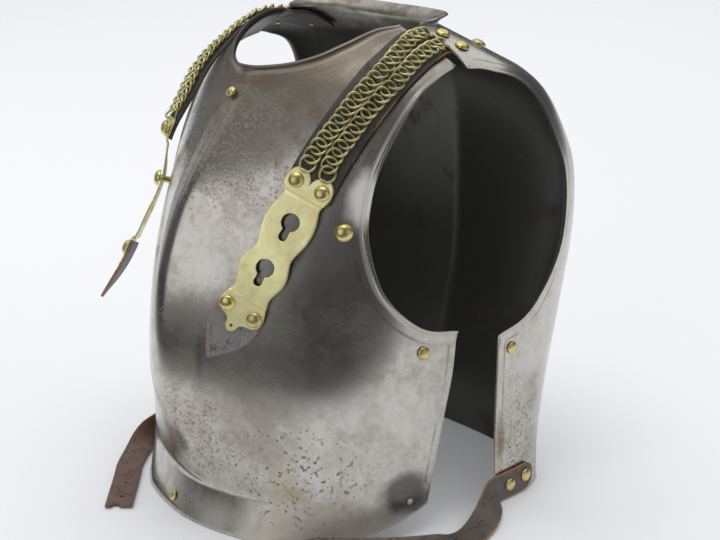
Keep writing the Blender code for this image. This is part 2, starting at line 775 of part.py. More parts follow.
def disc(distance, across, radius, segments=10):
    turns = [2 * pi * k / segments for k in range(segments)]
    return [(distance + radius * cos(t), across + radius * sin(t)) for t in turns]


def keyhole(distance):
    """A round hole with a slot that runs on towards the strap's tip and ends round."""
    slot_end = distance + KEYHOLE_LENGTH - KEYHOLE_SLOT
    points = []
    for k in range(7):
        turn = -pi / 2 + pi * k / 6
        points.append((slot_end + KEYHOLE_SLOT * cos(turn), KEYHOLE_SLOT * sin(turn)))
    opening = atan2(KEYHOLE_SLOT, KEYHOLE_ROUND)
    for k in range(13):
        turn = opening + (2 * pi - 2 * opening) * k / 12
        points.append((distance + KEYHOLE_ROUND * cos(turn), KEYHOLE_ROUND * sin(turn)))
    return points


def mirrored(vector):
    return Vector((-vector.x, vector.y, vector.z))


def sided(place, side):
    """A (point, normal) place on the wearer's left, or its mirror image for side -1."""
    point, normal = place
    return (point, normal) if side > 0 else (mirrored(point), mirrored(normal))


def placed(x, y, z):
    return Vector((x, y - ORIGIN_Y, z))


def face_place(surface, across, height):
    return surface(across, height), face_normal(surface, across, height)


def lifted(place, lift):
    point, normal = place
    return point + normal * lift, normal


def seat_matrix(place, along=Vector((0, 0, 1))):
    return frame_matrix(place[0], place[1], along)


def flange_place(across, crease, share):
    """(point, normal) on the outer face of the flange."""
    upper = flange_point(across, crease, share - 0.05)
    lower = flange_point(across, crease, share + 0.05)
    beside = flange_point(across + 0.02, crease, share)
    point = flange_point(across, crease, share)
    return point, (beside - point).cross(upper - lower).normalized()


# ---------------------------------------------------------------- shoulder straps and chains
def lean_at(height):
    """How far the right strap leans at a height: not at all at its stud, and fully above it."""
    for low, high in zip(LEAN_STEPS[:-1], LEAN_STEPS[1:]):
        if low[0] <= height <= high[0]:
            return low[1] + (high[1] - low[1]) * (height - low[0]) / (high[0] - low[0])
    return 0.0


def strap_route(side):
    knots = []
    for x, y, depth in TONGUE_KNOTS:
        knots.append(lifted(shoulder_place(x, y), -(BACK_WALL + LEATHER + depth)))
    chest = LEFT_CHEST_KNOTS if side > 0 else RIGHT_CHEST_KNOTS
    for x, height, lift in chest:
        point, normal = lifted(chest_place(x, height), lift)
        if side < 0:
            normal = (normal + RIGHT_STRAP_LEAN * lean_at(height)).normalized()
        knots.append((point, normal))
    return Route([sided(knot, side) for knot in knots])


def plate_start(route, side, stud):
    """The distance along a strap at which the lobes of its hook plate begin."""
    if side > 0:
        return route.nearest(placed(*LOBE_RIVET_PLACE)) - PLATE_TO_LOBE_RIVETS
    slot_end = KEYHOLES[0] + KEYHOLE_LENGTH - KEYHOLE_SLOT
    return route.nearest(stud[0] + stud[1] * STUD_REACH / 2) - slot_end


def moved(table, start):
    return [(row[0] + start, *row[1:]) for row in table]


def build_strap(side, stud, back_holes):
    """One shoulder strap: leather, two rows of rings, hook plate, leather tip and their rivets."""
    label = "left" if side > 0 else "right"
    route = strap_route(side)
    start = plate_start(route, side, stud)

    rivets = []
    for number, (x, y) in enumerate(SHOULDER_RIVETS, 1):
        matrix = seat_matrix(sided(shoulder_place(x, y), side), Vector((0, 1, 0)))
        rivets.append((f"rivet_shoulder_{label}_{number}", matrix))
        drill(back_holes, matrix, SHOULDER_SHANK, 12)
    strap_cut = bmesh.new()
    for rivet_name, matrix in rivets:
        depth = BACK_WALL + LEATHER + TONGUE_KNOTS[0][2]
        add_rivet(rivet_name, matrix, SHOULDER_HEAD, SHOULDER_SHANK, depth)
        drill(strap_cut, matrix, SHOULDER_SHANK, 12)
    plate_cut = bmesh.new()
    tip_cut = bmesh.new()
    for number, (distance, across) in enumerate(PLATE_RIVETS, 1):
        point, along, _, normal = route.frame(start + distance)
        top = route.point(start + distance, across, OVER_LEATHER + BRASS_SHEET)
        matrix = frame_matrix(top, normal, along)
        depth = BRASS_SHEET + OVER_LEATHER
        add_rivet(f"rivet_plate_{label}_{number}", matrix, PLATE_HEAD, PLATE_SHANK, depth, False)
        drill(plate_cut, matrix, PLATE_SHANK, 6)
        drill(strap_cut if distance < STRAP_STOP else tip_cut, matrix, PLATE_SHANK, 6)

    bm = bmesh.new()
    leather = (*STRAP, (start + STRAP_STOP, STRAP_HALF, 0, 0.6))
    ribbon(bm, route, table_stations(leather, 13), LEATHER)
    strap = make_object(f"strap_{label}", bm, "strap_leather")
    add_boolean(strap, make_cutter(f"strap_cut_{label}", strap_cut))
    shade_smooth(strap)

    bm = bmesh.new()
    ribbon(bm, route, moved(STRAP_TIP, start), LEATHER, 2)
    tip = make_object(f"strap_tip_{label}", bm, "strap_leather")
    add_boolean(tip, make_cutter(f"tip_cut_{label}", tip_cut))
    shade_smooth(tip)

    for distance in KEYHOLES:
        prism(plate_cut, route, keyhole(start + distance), -4, 8)
    prism(plate_cut, route, disc(start - 0.5, 0, LOBE_NOTCH), -4, 8)
    prism(plate_cut, route, disc(start + TAB_HOLE[0], 0, TAB_HOLE[1], 6), -4, 8)
    bm = bmesh.new()
    ribbon(bm, route, moved(HOOK_PLATE, start), BRASS_SHEET, 1)
    plate = make_object(f"hook_plate_{label}", bm, "brass")
    add_boolean(plate, make_cutter(f"plate_cut_{label}", plate_cut))
    shade_smooth(plate)

    edge = placed(*SHOULDER_FRONT)
    reach = RING_RADIUS + WIRE_RADIUS
    first = route.nearest(edge if side > 0 else mirrored(edge)) + CHAIN_START_GAP + reach
    last = start - reach - 0.8
    count = int((last - first) / RING_PITCH) + 1
    places = [last - RING_PITCH * k for k in range(count)]
    for row, across in ROW_OFFSETS.items():
        bm = bmesh.new()
        ring_row(bm, route, places[0::2], across * side, CHAIN_LIFT)
        chain = make_object(f"chain_{label}_{row}", bm, "brass")
        bm = bmesh.new()
        ring_row(bm, route, places[1::2], across * side, CHAIN_LIFT)
        add_boolean(chain, make_cutter(f"chain_other_rings_{label}_{row}", bm), "UNION")
        weld = chain.modifiers.new("weld", "WELD")
        weld.merge_threshold = WELD_REACH * MM
        shade_smooth(chain)


# ---------------------------------------------------------------- waist belt
def belt_route(side):
    knots = [sided(lifted(face_place(back_point, *place), PAD_LIFT), side) for place in PAD_KNOTS]
    rest = BELT_LEFT_KNOTS if side > 0 else BELT_RIGHT_KNOTS
    knots += [(placed(*point), Vector(normal).normalized()) for point, normal in rest]
    return Route(knots)


def build_belt(side, back_holes):
    label = "left" if side > 0 else "right"
    route = belt_route(side)
    belt_cut = bmesh.new()
    for number, (distance, across) in enumerate(PAD_RIVETS, 1):
        _, along, _, normal = route.frame(distance)
        matrix = frame_matrix(route.point(distance, across, LEATHER), normal, along)
        depth = LEATHER + PAD_LIFT + BACK_WALL
        add_rivet(f"rivet_belt_{label}_{number}", matrix, PAD_HEAD, LINING_SHANK, depth)
        drill(back_holes, matrix, LINING_SHANK, 10)
        drill(belt_cut, matrix, LINING_SHANK, 4)
    if side < 0:
        for distance, radius in BELT_HOLES:
            prism(belt_cut, route, disc(route.length - distance, 1, radius, 8), -3, 6)
        prism(belt_cut, route, disc(route.length, -3, BELT_NOTCH, 6), -3, 6)
    end = route.length
    if side > 0:
        end -= BUCKLE_REACH
        build_buckle(route, end, belt_cut)
    bm = bmesh.new()
    ribbon(bm, route, table_stations((*PAD, (end, BELT_HALF, 0, 0)), 14), LEATHER, 2)
    belt = make_object(f"belt_{label}", bm, "belt_leather")
    add_boolean(belt, make_cutter(f"belt_cut_{label}", belt_cut))
    shade_smooth(belt)


def build_buckle(route, end, belt_cut):
    """A plain cast buckle whose tab is riveted on the end of the left belt."""
    _, along, _, normal = route.frame(end + BUCKLE_RIVET)
    top = route.point(end + BUCKLE_RIVET, 0, OVER_LEATHER + BUCKLE_SHEET)
    matrix = frame_matrix(top, normal, along)
    add_rivet("rivet_buckle", matrix, LINING_HEAD, LINING_SHANK, BUCKLE_SHEET + OVER_LEATHER, False)
    drill(belt_cut, matrix, LINING_SHANK, 7)
    buckle_cut = bmesh.new()
    drill(buckle_cut, matrix, LINING_SHANK, 7)
    prism(buckle_cut, route, [(end + d, across) for d, across in BUCKLE_OPENING], -3, 8)
    bm = bmesh.new()
    ribbon(bm, route, moved(BUCKLE, end), BUCKLE_SHEET, 1)
    buckle = make_object("belt_buckle", bm, "brass")
    add_boolean(buckle, make_cutter("buckle_cut", buckle_cut))
    shade_smooth(buckle)


# ---------------------------------------------------------------- rivets and studs of the plates
def build_plate_rivets(holes):
    """The rivets that once held the lining, in both plates and on the flange."""
    surfaces = {"breastplate": (breast_point, BREAST_WALL), "backplate": (back_point, BACK_WALL)}
    for name, plate, across, height, both in LINING_RIVETS:
        surface, wall = surfaces[plate]
        for side, label in ((1, "_left"), (-1, "_right")) if both else ((1, ""),):
            matrix = seat_matrix(sided(face_place(surface, across, height), side))
            head = SIDE_HEAD if both else LINING_HEAD
            add_rivet(name + label, matrix, head, LINING_SHANK, wall if across else wall + RIDGE_GAP)
            drill(holes[plate], matrix, LINING_SHANK, 8)
    matrix = seat_matrix(sided(flange_place(*FLANGE_RIVET), -1))
    add_rivet("rivet_flange", matrix, LINING_HEAD, LINING_SHANK, BREAST_WALL)
    drill(holes["breastplate"], matrix, LINING_SHANK, 8)
    for side, label in ((1, "left"), (-1, "right")):
        matrix = seat_matrix(sided(flange_place(*CORNER_RIVET), side))
        add_rivet(f"rivet_corner_{label}", matrix, CORNER_HEAD, CORNER_SHANK, BREAST_WALL, True, "steel")
        drill(holes["breastplate"], matrix, CORNER_SHANK, 8)


def build_stud(name, place, holes):
    """A domed stud on a neck, with its shank through the breastplate."""
    foot = -BREAST_WALL - SEAT
    profile = [
        (0, STUD_REACH + 5.2), (STUD_HEAD * 0.55, STUD_REACH + 4.4), (STUD_HEAD * 0.9, STUD_REACH + 2.4),
        (STUD_HEAD, STUD_REACH + 0.8), (STUD_HEAD * 0.92, STUD_REACH), (STUD_NECK, STUD_REACH),
        (STUD_NECK, SEAT), (SHOULDER_SHANK, SEAT), (SHOULDER_SHANK, foot), (STUD_NECK, foot),
        (STUD_NECK * 0.8, foot - 1.4), (0, foot - 1.6),
    ]
    bm = bmesh.new()
    matrix = seat_matrix(place)
    lathe(bm, profile, matrix, 12)
    shade_smooth(make_object(name, bm, "brass"))
    drill(holes, matrix, SHOULDER_SHANK, 8)


# ---------------------------------------------------------------- start
for old in list(bpy.data.objects):
    bpy.data.objects.remove(old)

plate_holes = {"breastplate": bmesh.new(), "backplate": bmesh.new()}
floor_box = Matrix.Translation((0, 0, -20)) @ Matrix.Diagonal((900, 900, 40, 1))
for cutter_mesh in plate_holes.values():
    bmesh.ops.create_cube(cutter_mesh, size=1, matrix=floor_box)

build_plate_rivets(plate_holes)
stud_places = {1: chest_place(*STUD_LEFT), -1: sided(chest_place(*STUD_RIGHT), -1)}
build_stud("stud_left", stud_places[1], plate_holes["breastplate"])
build_stud("stud_right", stud_places[-1], plate_holes["breastplate"])
for wearer_side in (1, -1):
    build_strap(wearer_side, stud_places[wearer_side], plate_holes["backplate"])
    build_belt(wearer_side, plate_holes["backplate"])

BREAST_OUTLINES = (BREAST_MIDDLE, BREAST_CREASE, BREAST_NECK, BREAST_SIDE, BREAST_ARM, BREAST_SHOULDER)
BACK_OUTLINES = (BACK_MIDDLE, BACK_FOOT, BACK_NECK, BACK_SIDE, BACK_ARM, BACK_SHOULDER)
breast_cut = make_cutter("breast_cut", plate_holes["breastplate"])
back_cut = make_cutter("back_cut", plate_holes["backplate"])
build_plate("breastplate", breast_point, BREAST_OUTLINES, BREAST_WALL, breast_cut)
build_plate("backplate", back_point, BACK_OUTLINES, BACK_WALL, back_cut)
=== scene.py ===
# %% [markdown]
# # A cavalry cuirass
#
# A cuirass is a pair of steel plates, one for the chest and one for the back. Two leather shoulder
# straps hold them together at the top. Each strap is faced with rows of brass rings, so that a
# sabre can't cut it, and ends in a brass plate with keyholes that buttons onto a stud on the chest.
# A leather belt, riveted to the backplate, closes the waist.
#
# This lesson loads the solid model of the cuirass and builds its visible pieces around it, one step
# at a time: the two plates, the rivets, the straps, the rings, the hook plates and the belt, and
# then the finishes and the light.

from math import atan2, cos, pi, radians, sin, sqrt
from random import Random

import bmesh
import bpy
import numpy as np
from mathutils import Matrix, Vector
from mathutils.kdtree import KDTree


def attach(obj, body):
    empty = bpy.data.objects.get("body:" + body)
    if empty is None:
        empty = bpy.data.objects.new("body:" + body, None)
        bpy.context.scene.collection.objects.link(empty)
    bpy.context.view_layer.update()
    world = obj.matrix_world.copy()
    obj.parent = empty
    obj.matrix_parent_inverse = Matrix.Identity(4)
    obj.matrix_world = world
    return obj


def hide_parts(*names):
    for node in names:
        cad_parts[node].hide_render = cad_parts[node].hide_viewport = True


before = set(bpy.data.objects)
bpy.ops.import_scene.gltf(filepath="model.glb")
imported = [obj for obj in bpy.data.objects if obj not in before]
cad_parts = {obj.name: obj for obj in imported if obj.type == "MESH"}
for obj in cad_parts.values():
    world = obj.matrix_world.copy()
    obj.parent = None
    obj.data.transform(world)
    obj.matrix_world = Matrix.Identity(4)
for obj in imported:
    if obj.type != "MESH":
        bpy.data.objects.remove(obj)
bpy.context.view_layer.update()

# %% [markdown]
# Sizes are in millimetres, as on a maker's drawing, and MM turns them into the metres that Blender
# works in. In the tables y is measured from the front of the breastplate's foot. ORIGIN_Y says how
# far that is from the origin, which is the middle of the backplate's foot.

# %% Units and thicknesses
MM = 0.001
ORIGIN_Y = 332.3
BREAST_WALL = 2.6
BACK_WALL = 2.0
LEATHER = 2.4
BRASS_SHEET = 1.6
GAP = 0.35
OVER_LEATHER = LEATHER + GAP
# The wearer's left is at +X
SIDES = ((1, "left"), (-1, "right"))

# %% [markdown]
# ## Working as by hand
#
# Blender's operators act on what is selected, so each helper first makes sure that nothing else is.
# A modifier is added and applied in one go, because a finished piece should be plain mesh.


# %% Helpers for selecting and applying
def nothing():
    """Leaves nothing selected, before a primitive is added."""
    if bpy.context.object and bpy.context.object.mode != "OBJECT":
        bpy.ops.object.mode_set(mode="OBJECT")
    bpy.ops.object.select_all(action="DESELECT")


def only(*pieces):
    """Selects these pieces and nothing else, and makes the first one active."""
    nothing()
    for piece in pieces:
        piece.select_set(True)
    bpy.context.view_layer.objects.active = pieces[0]


def modify(piece, kind, **settings):
    """Adds a modifier with these settings and applies it."""
    only(piece)
    modifier = piece.modifiers.new(kind.lower(), kind)
    for name, value in settings.items():
        setattr(modifier, name, value)
    bpy.ops.object.modifier_apply(modifier=modifier.name)


def select_part(piece, mode, test):
    """In edit mode, selects the vertices, edges or faces that pass a test, and nothing else."""
    only(piece)
    bpy.ops.object.mode_set(mode="EDIT")
    bpy.ops.mesh.select_mode(type=mode)
    bpy.ops.mesh.select_all(action="DESELECT")
    bm = bmesh.from_edit_mesh(piece.data)
    for part in {"VERT": bm.verts, "EDGE": bm.edges, "FACE": bm.faces}[mode]:
        if test(part):
            part.select_set(True)
    bm.select_flush_mode()
    bmesh.update_edit_mesh(piece.data)


# %% Edits of a whole piece
def edit_all(piece, operator, **settings):
    """Applies an edit mode operator to the whole of a piece."""
    only(piece)
    bpy.ops.object.mode_set(mode="EDIT")
    bpy.ops.mesh.select_all(action="SELECT")
    operator(**settings)
    bpy.ops.object.mode_set(mode="OBJECT")


def merged(piece):
    """Merges vertices that lie on each other."""
    edit_all(piece, bpy.ops.mesh.remove_doubles, threshold=0.03 * MM)


def bevelled(piece, width, angle, segments=2):
    """Bevels the edges that are sharper than an angle. The width is in millimetres."""
    modify(
        piece, "BEVEL", width=width * MM, segments=segments, limit_method="ANGLE",
        angle_limit=radians(angle),
    )


# %% Joining and finishing
def joined(name, pieces):
    """Joins pieces into one."""
    only(*pieces)
    bpy.ops.object.join()
    pieces[0].name = pieces[0].data.name = name
    return pieces[0]


def finished(piece, angle=35):
    """Smooths a closed piece, and prints its size and whether it faces outwards."""
    only(piece)
    bpy.ops.object.shade_smooth_by_angle(angle=radians(angle))
    bm = bmesh.new()
    bm.from_mesh(piece.data)
    volume = bm.calc_volume(signed=True)
    open_edges = sum(1 for edge in bm.edges if len(edge.link_faces) != 2)
    bm.free()
    if volume < 0:
        edit_all(piece, bpy.ops.mesh.flip_normals)
    triangles = sum(len(face.vertices) - 2 for face in piece.data.polygons)
    print(f"{piece.name}: {triangles} triangles, {volume * 1e6:.1f} cm3, {open_edges} open edges")
    return piece


# %% [markdown]
# ## The faces of the plates
#
# A plate of armour is doubly curved, and its shape is easiest to give as a stack of level sections.
# Each row below is half a section: a cubic Bezier curve that starts at the ridge in the middle and
# ends at the side. Between the rows the numbers run on smooth curves. Any point of a face then has
# two face coordinates: how far across its section it is, and its height.

# %% The tables of sections and outlines
# height, middle_y, slope, middle_reach, half_width, side_y, side_reach
BREAST_SECTIONS = (
    (20, 20, 0.02, 85, 164, 141, 80),
    (40, 13, 0.08, 84, 165, 144, 82),
    (75, -3, 0.28, 76, 167, 150, 86),
    (115, -22, 0.52, 64, 169, 158, 92),
    (150, -28, 0.62, 62, 171, 164, 90),
    (200, -26, 0.65, 62, 171, 168, 78),
    (250, -16, 0.64, 62, 169, 168, 66),
    (300, 5, 0.60, 62, 164, 169, 56),
    (350, 41, 0.50, 54, 155, 175, 52),
    (385, 70, 0.38, 46, 143, 190, 54),
    (402, 83, 0.32, 40, 131, 200, 52),
    (416, 96, 0.30, 36, 106, 196, 44),
    (430, 112, 0.30, 30, 78, 190, 36),
)
BACK_SECTIONS = (
    (-10, 336, 0.00, 92, 170, 262, 62),
    (30, 326, 0.06, 86, 168, 263, 64),
    (60, 325, 0.10, 85, 168, 264, 66),
    (110, 334, 0.20, 82, 170, 266, 74),
    (170, 346, 0.26, 80, 173, 270, 86),
    (240, 349, 0.26, 80, 177, 276, 96),
    (300, 347, 0.22, 80, 175, 276, 98),
    (340, 342, 0.16, 76, 169, 266, 90),
    (370, 329, 0.10, 66, 162, 254, 84),
    (390, 306, 0.04, 58, 153, 240, 74),
    (404, 284, 0.00, 52, 141, 224, 62),
    (416, 267, 0.00, 46, 122, 212, 52),
    (426, 255, 0.00, 38, 98, 206, 44),
    (434, 247, 0.00, 30, 74, 203, 36),
)
SIDE_EDGE_Y = 228.0
SIDE_EDGE_LEAN = 0.045
SHOULDER_EDGE_Y = 204.0
SHOULDER_START_Z = 300.0
STRAIGHT_RUN = 0.25

# Outlines on the faces of the plates: across, height. across is the place along the section, 0 in
# the middle and 1 at its side; from 1 to 1 + STRAIGHT_RUN it runs on along the backplate's straight
# side strip or shoulder
BREAST_OUTLINES = {
    "middle": ((0, 33), (0, 150), (0, 382), (0, 394.5)),
    "foot": ((0, 33), (0.5, 37.5), (1, 52)),
    "neck": (
        (0, 394.5), (0.11, 395), (0.25, 398.5), (0.37, 405), (0.516, 415), (0.74, 426), (1, 430),
    ),
    "side": ((1, 52), (1, 181)),
    "arm": (
        (1, 181), (0.84, 190), (0.70, 220), (0.63, 262), (0.615, 295), (0.645, 333), (0.757, 378),
        (0.87, 396), (1, 403),
    ),
    "shoulder": ((1, 403), (1, 416), (1, 430)),
}
BACK_OUTLINES = {
    "middle": ((0, -3), (0, 150), (0, 414), (0, 426)),
    "foot": ((0, -3), (1, -3), (1.25, -3)),
    "neck": ((0, 426), (0.5, 427), (1, 430), (1.25, 430)),
    "side": ((1.25, -3), (1.25, 165)),
    "arm": (
        (1.25, 165), (1.1, 172), (1.0, 189), (0.922, 230), (0.90, 275), (0.90, 330), (0.909, 376),
        (0.95, 392), (1.075, 400), (1.25, 402),
    ),
    "shoulder": ((1.25, 402), (1.25, 416), (1.25, 430)),
}

# %% [markdown]
# These functions read the tables. They give the point and the outward direction at any face
# coordinates, and that is all the plates, the rivets and the straps need in order to be placed.


# %% Reading a table
def span_at(values, wanted):
    """The number of the span between rising values in which the wanted value lies."""
    return min(max(int(np.searchsorted(values, wanted)) - 1, 0), len(values) - 2)


def row_at(table, height):
    """The row of a table of sections at any height, on a smooth curve through its rows."""
    k = span_at([row[0] for row in table], height)
    below, above = table[k], table[k + 1]
    before = table[max(k - 1, 0)]
    after = table[min(k + 2, len(table) - 1)]
    span = above[0] - below[0]
    u = (height - below[0]) / span
    values = []
    for column in range(1, len(below)):
        rise_0 = (above[column] - before[column]) / (above[0] - before[0]) * span
        rise_1 = (after[column] - below[column]) / (after[0] - below[0]) * span
        values.append(
            (2 * u**3 - 3 * u**2 + 1) * below[column]
            + (u**3 - 2 * u**2 + u) * rise_0
            + (3 * u**2 - 2 * u**3) * above[column]
            + (u**3 - u**2) * rise_1
        )
    return values


# %% Points and directions of a face
def section_point(table, across, height, side):
    """A point of one section. side is +1 where the side runs back and -1 where it runs forward."""
    middle_y, slope, middle_reach, half_width, side_y, side_reach = row_at(table, height)
    weights = (
        (1 - across) ** 3,
        3 * across * (1 - across) ** 2,
        3 * across**2 * (1 - across),
        across**3,
    )
    xs = (0, middle_reach, half_width, half_width)
    ys = (middle_y, middle_y + slope * middle_reach, side_y - side * side_reach, side_y)
    x = sum(w * v for w, v in zip(weights, xs))
    y = sum(w * v for w, v in zip(weights, ys))
    return Vector((x, y - ORIGIN_Y, height))


def breast_point(across, height):
    return section_point(BREAST_SECTIONS, across, height, 1)


def back_point(across, height):
    if across <= 1:
        return section_point(BACK_SECTIONS, across, height, -1)
    point = section_point(BACK_SECTIONS, 1, height, -1)
    side_edge = SIDE_EDGE_Y - SIDE_EDGE_LEAN * height
    edge_y = SHOULDER_EDGE_Y if height > SHOULDER_START_Z else side_edge
    point.y += (edge_y - ORIGIN_Y - point.y) * (across - 1) / STRAIGHT_RUN
    return point


def face_normal(surface, across, height):
    """The outward normal of a plate's outer face."""
    step = 0.004
    low = max(across - step, 0)
    along = surface(across + step, height) - surface(low, height)
    up = surface(across, height + 1) - surface(across, height - 1)
    normal = along.cross(up)
    if across == 0:
        normal.x = 0
    return -normal.normalized() if surface is back_point else normal.normalized()


def face_place(surface, across, height):
    """(point, normal) of a plate's outer face."""
    return surface(across, height), face_normal(surface, across, height)


# %% Places on a face, found by their distance from the middle
# Between these heights the backplate's outer face lies over the ends of the straps
SHOULDER_HEIGHTS = (380.0, 434.0)


def halved(low, high, is_below, times=30):
    """Halves a range again and again, down to the value at which is_below stops being true."""
    for _ in range(times):
        half = (low + high) / 2
        if is_below(half):
            low = half
        else:
            high = half
    return low


def across_at(surface, x, height):
    """The place along the section at this height whose distance from the middle is x."""
    return halved(0.0, 1.0, lambda across: surface(across, height).x < x)


def chest_place(x, height):
    """(point, normal) of the breastplate's outer face at this distance from the middle."""
    return face_place(breast_point, across_at(breast_point, x, height), height)


def shoulder_place(x, y):
    """(point, normal) of the backplate's outer face over a place in plan."""

    def is_behind(height):
        return back_point(across_at(back_point, x, height), height).y + ORIGIN_Y > y

    height = halved(*SHOULDER_HEIGHTS, is_behind)
    return face_place(back_point, across_at(back_point, x, height), height)


# %% Smooth curves and even steps
def smooth_curve(points, per_span=8):
    """A Catmull-Rom curve through points of any dimension, as a list of Vectors."""
    knots = [Vector(p) for p in points]
    curve = []
    for k in range(len(knots) - 1):
        start, end = knots[k], knots[k + 1]
        before = knots[k - 1] if k else start * 2 - end
        after = knots[k + 2] if k + 2 < len(knots) else end * 2 - start
        for step in range(per_span):
            u = step / per_span
            curve.append(
                0.5
                * (
                    2 * start
                    + (end - before) * u
                    + (2 * before - 5 * start + 4 * end - after) * u**2
                    + (3 * start - before - 3 * end + after) * u**3
                )
            )
    curve.append(knots[-1])
    return curve


def spaced(points, count, place):
    """count + 1 points along a curve, at even distances where place puts them in space."""
    lengths = [0.0]
    for a, b in zip(points[:-1], points[1:]):
        lengths.append(lengths[-1] + (place(b) - place(a)).length)
    result = []
    for step in range(count + 1):
        wanted = lengths[-1] * step / count
        k = span_at(lengths, wanted)
        part = (wanted - lengths[k]) / (lengths[k + 1] - lengths[k])
        result.append(points[k].lerp(points[k + 1], part))
    return result


def outline(surface, points, count):
    """An outline on a plate's face, cut into count even steps."""
    return spaced(smooth_curve(points), count, lambda p: surface(p[0], p[1]))


# %% [markdown]
# ## From outlines to a grid
#
# A plate is an odd-shaped piece of a curved face, and modelling it well needs rows and columns that
# follow its edges. Half a plate has four outlines that share their corners. A grid of face
# coordinates between them is relaxed: each point moves to the mean of its neighbours, over and
# over, as a stretched net does. NumPy does all the points at once, so thousands of rounds take a
# moment.

# %% The relaxed grid
COLUMNS = 40
SIDE_ROWS = 20
ARM_ROWS = 56
SHOULDER_ROWS = 8
RELAX_ROUNDS = 2500
ROW_PULL = 5


def relaxed_grid(bottom, top, left, right):
    """Face coordinates inside four outlines, as rows from the foot to the neck."""
    columns, rows = len(bottom) - 1, len(left) - 1
    grid = np.empty((rows + 1, columns + 1, 2))
    for r in range(rows + 1):
        for c in range(columns + 1):
            grid[r, c] = left[r].lerp(right[r], c / columns)
    grid[0], grid[-1] = bottom, top
    for _ in range(RELAX_ROUNDS):
        along_row = grid[1:-1, :-2] + grid[1:-1, 2:]
        along_column = grid[:-2, 1:-1] + grid[2:, 1:-1]
        grid[1:-1, 1:-1] = (along_row * ROW_PULL + along_column) / (2 * ROW_PULL + 2)
    return grid


def joined_outline(surface, outlines):
    """The outlines from the foot to the neck, cut into the steps of the side, arm and shoulder."""
    line = [Vector(outlines[0][0])]
    for points, count in zip(outlines, (SIDE_ROWS, ARM_ROWS, SHOULDER_ROWS)):
        line += outline(surface, points, count)[1:]
    return line


def plate_grid(surface, middle, foot, neck, side, arm, shoulder):
    """Face coordinates of half a plate, and the outline of its side, arm and shoulder."""
    left = joined_outline(surface, list(zip(middle[:-1], middle[1:])))
    right = joined_outline(surface, (side, arm, shoulder))
    bottom = outline(surface, foot, COLUMNS)
    top = outline(surface, neck, COLUMNS)
    return relaxed_grid(bottom, top, left, right)


# %% [markdown]
# ## Rolled edges, flange and collar
#
# The armourer turns the edge of an arm hole and of the neck outwards, so that it doesn't cut. At
# the waist the breastplate ends in a flange, and at the neck the backplate stands up in a low
# collar. Each of them is a few more rows of points past the edge of the grid.

# %% Rolled edges
ROLL_RADIUS = 3.0
ROLL_ANGLES = (20, 40, 60, 80, 98)
# At the ends of an edge the roll has this share of its radius, and it grows at this rate
ROLL_LEAST = 0.12
ROLL_GROWTH = 3.0


def arm_taper(step):
    """1 along most of the edge of an arm hole, falling to a little at both its ends."""
    return max(ROLL_LEAST, min(1.0, ROLL_GROWTH * min(step, ARM_ROWS - step) / ARM_ROWS))


def neck_taper(steps_left):
    """1 along most of the neck's edge, falling to a little at the shoulder."""
    return min(1.0, ROLL_LEAST + ROLL_GROWTH * steps_left / COLUMNS)


def rolled_rows(edge, outward, normals, fade):
    """Rows of points past an edge, on a small arc that turns out from the face."""
    rows = []
    for angle in ROLL_ANGLES:
        turn = radians(angle)
        row = []
        for point, out, normal, share in zip(edge, outward, normals, fade):
            radius = ROLL_RADIUS * share
            row.append(point + out * radius * sin(turn) + normal * radius * (1 - cos(turn)))
        rows.append(row)
    return rows


def edge_directions(surface, line, turn):
    """(points, outward, normals) of an outline: outward lies in the face, square to the edge."""
    points = [surface(p[0], p[1]) for p in line]
    normals = [face_normal(surface, p[0], p[1]) for p in line]
    outward = []
    for k, normal in enumerate(normals):
        ahead = points[min(k + 1, len(points) - 1)]
        behind = points[max(k - 1, 0)]
        outward.append((ahead - behind).cross(normal).normalized() * turn)
    return points, outward, normals


# %% The flange
FLANGE_ROWS = 9
FLANGE_OUT_MIDDLE = 16.0
FLANGE_OUT_SIDE = 8.0
FLANGE_FOOT_MIDDLE = -1.0
FLANGE_SIDE_RISE = 27.0
FLANGE_DRAW_IN = 0.045
# Between these places along the section the flange fades into the plate
FLANGE_FADE = (0.3, 0.68)
# Where it has faded, it runs on in the direction that the plate has over this height
FLANGE_FEELER = 4.0


def flange_flare(across):
    """1 where the flange turns out, falling smoothly to 0 where it runs straight on at the side."""
    begin, end = FLANGE_FADE
    share = min(1.0, max(0.0, (across - begin) / (end - begin)))
    return 1 - share * share * (3 - 2 * share)


def flange_point(across, crease, share):
    """A point of the flange's outer face: share runs from 0 at the crease to 1 at the foot."""
    flare = flange_flare(across)
    place = across * (1 - FLANGE_DRAW_IN * share * flare)
    start = breast_point(place, crease)
    normal = face_normal(breast_point, place, crease)
    level = Vector((normal.x, normal.y, 0)).normalized()
    out = FLANGE_OUT_MIDDLE + (FLANGE_OUT_SIDE - FLANGE_OUT_MIDDLE) * across
    foot = FLANGE_FOOT_MIDDLE + FLANGE_SIDE_RISE * across**3
    drop = (crease - foot) * share
    straight = start + (start - breast_point(place, crease + FLANGE_FEELER)) * drop / FLANGE_FEELER
    flared = start + level * out * share - Vector((0, 0, drop))
    return straight.lerp(flared, flare)


def flange_rows(crease_line):
    """Rows of points from the foot of the flange up to just under the waist crease."""
    shares = [step / FLANGE_ROWS for step in range(FLANGE_ROWS, 0, -1)]
    return [[flange_point(*place, share) for place in crease_line] for share in shares]


# %% The collar
COLLAR_WIDTH = 12.0
COLLAR_LEAN = 48.0
COLLAR_SHARES = (0.3, 1.0)
# The collar starts with this share of its lean
COLLAR_FIRST_LEAN = 0.35
# At the shoulder it has this share of its width, and it grows at this rate
COLLAR_LEAST = 0.15
COLLAR_GROWTH = 3.2


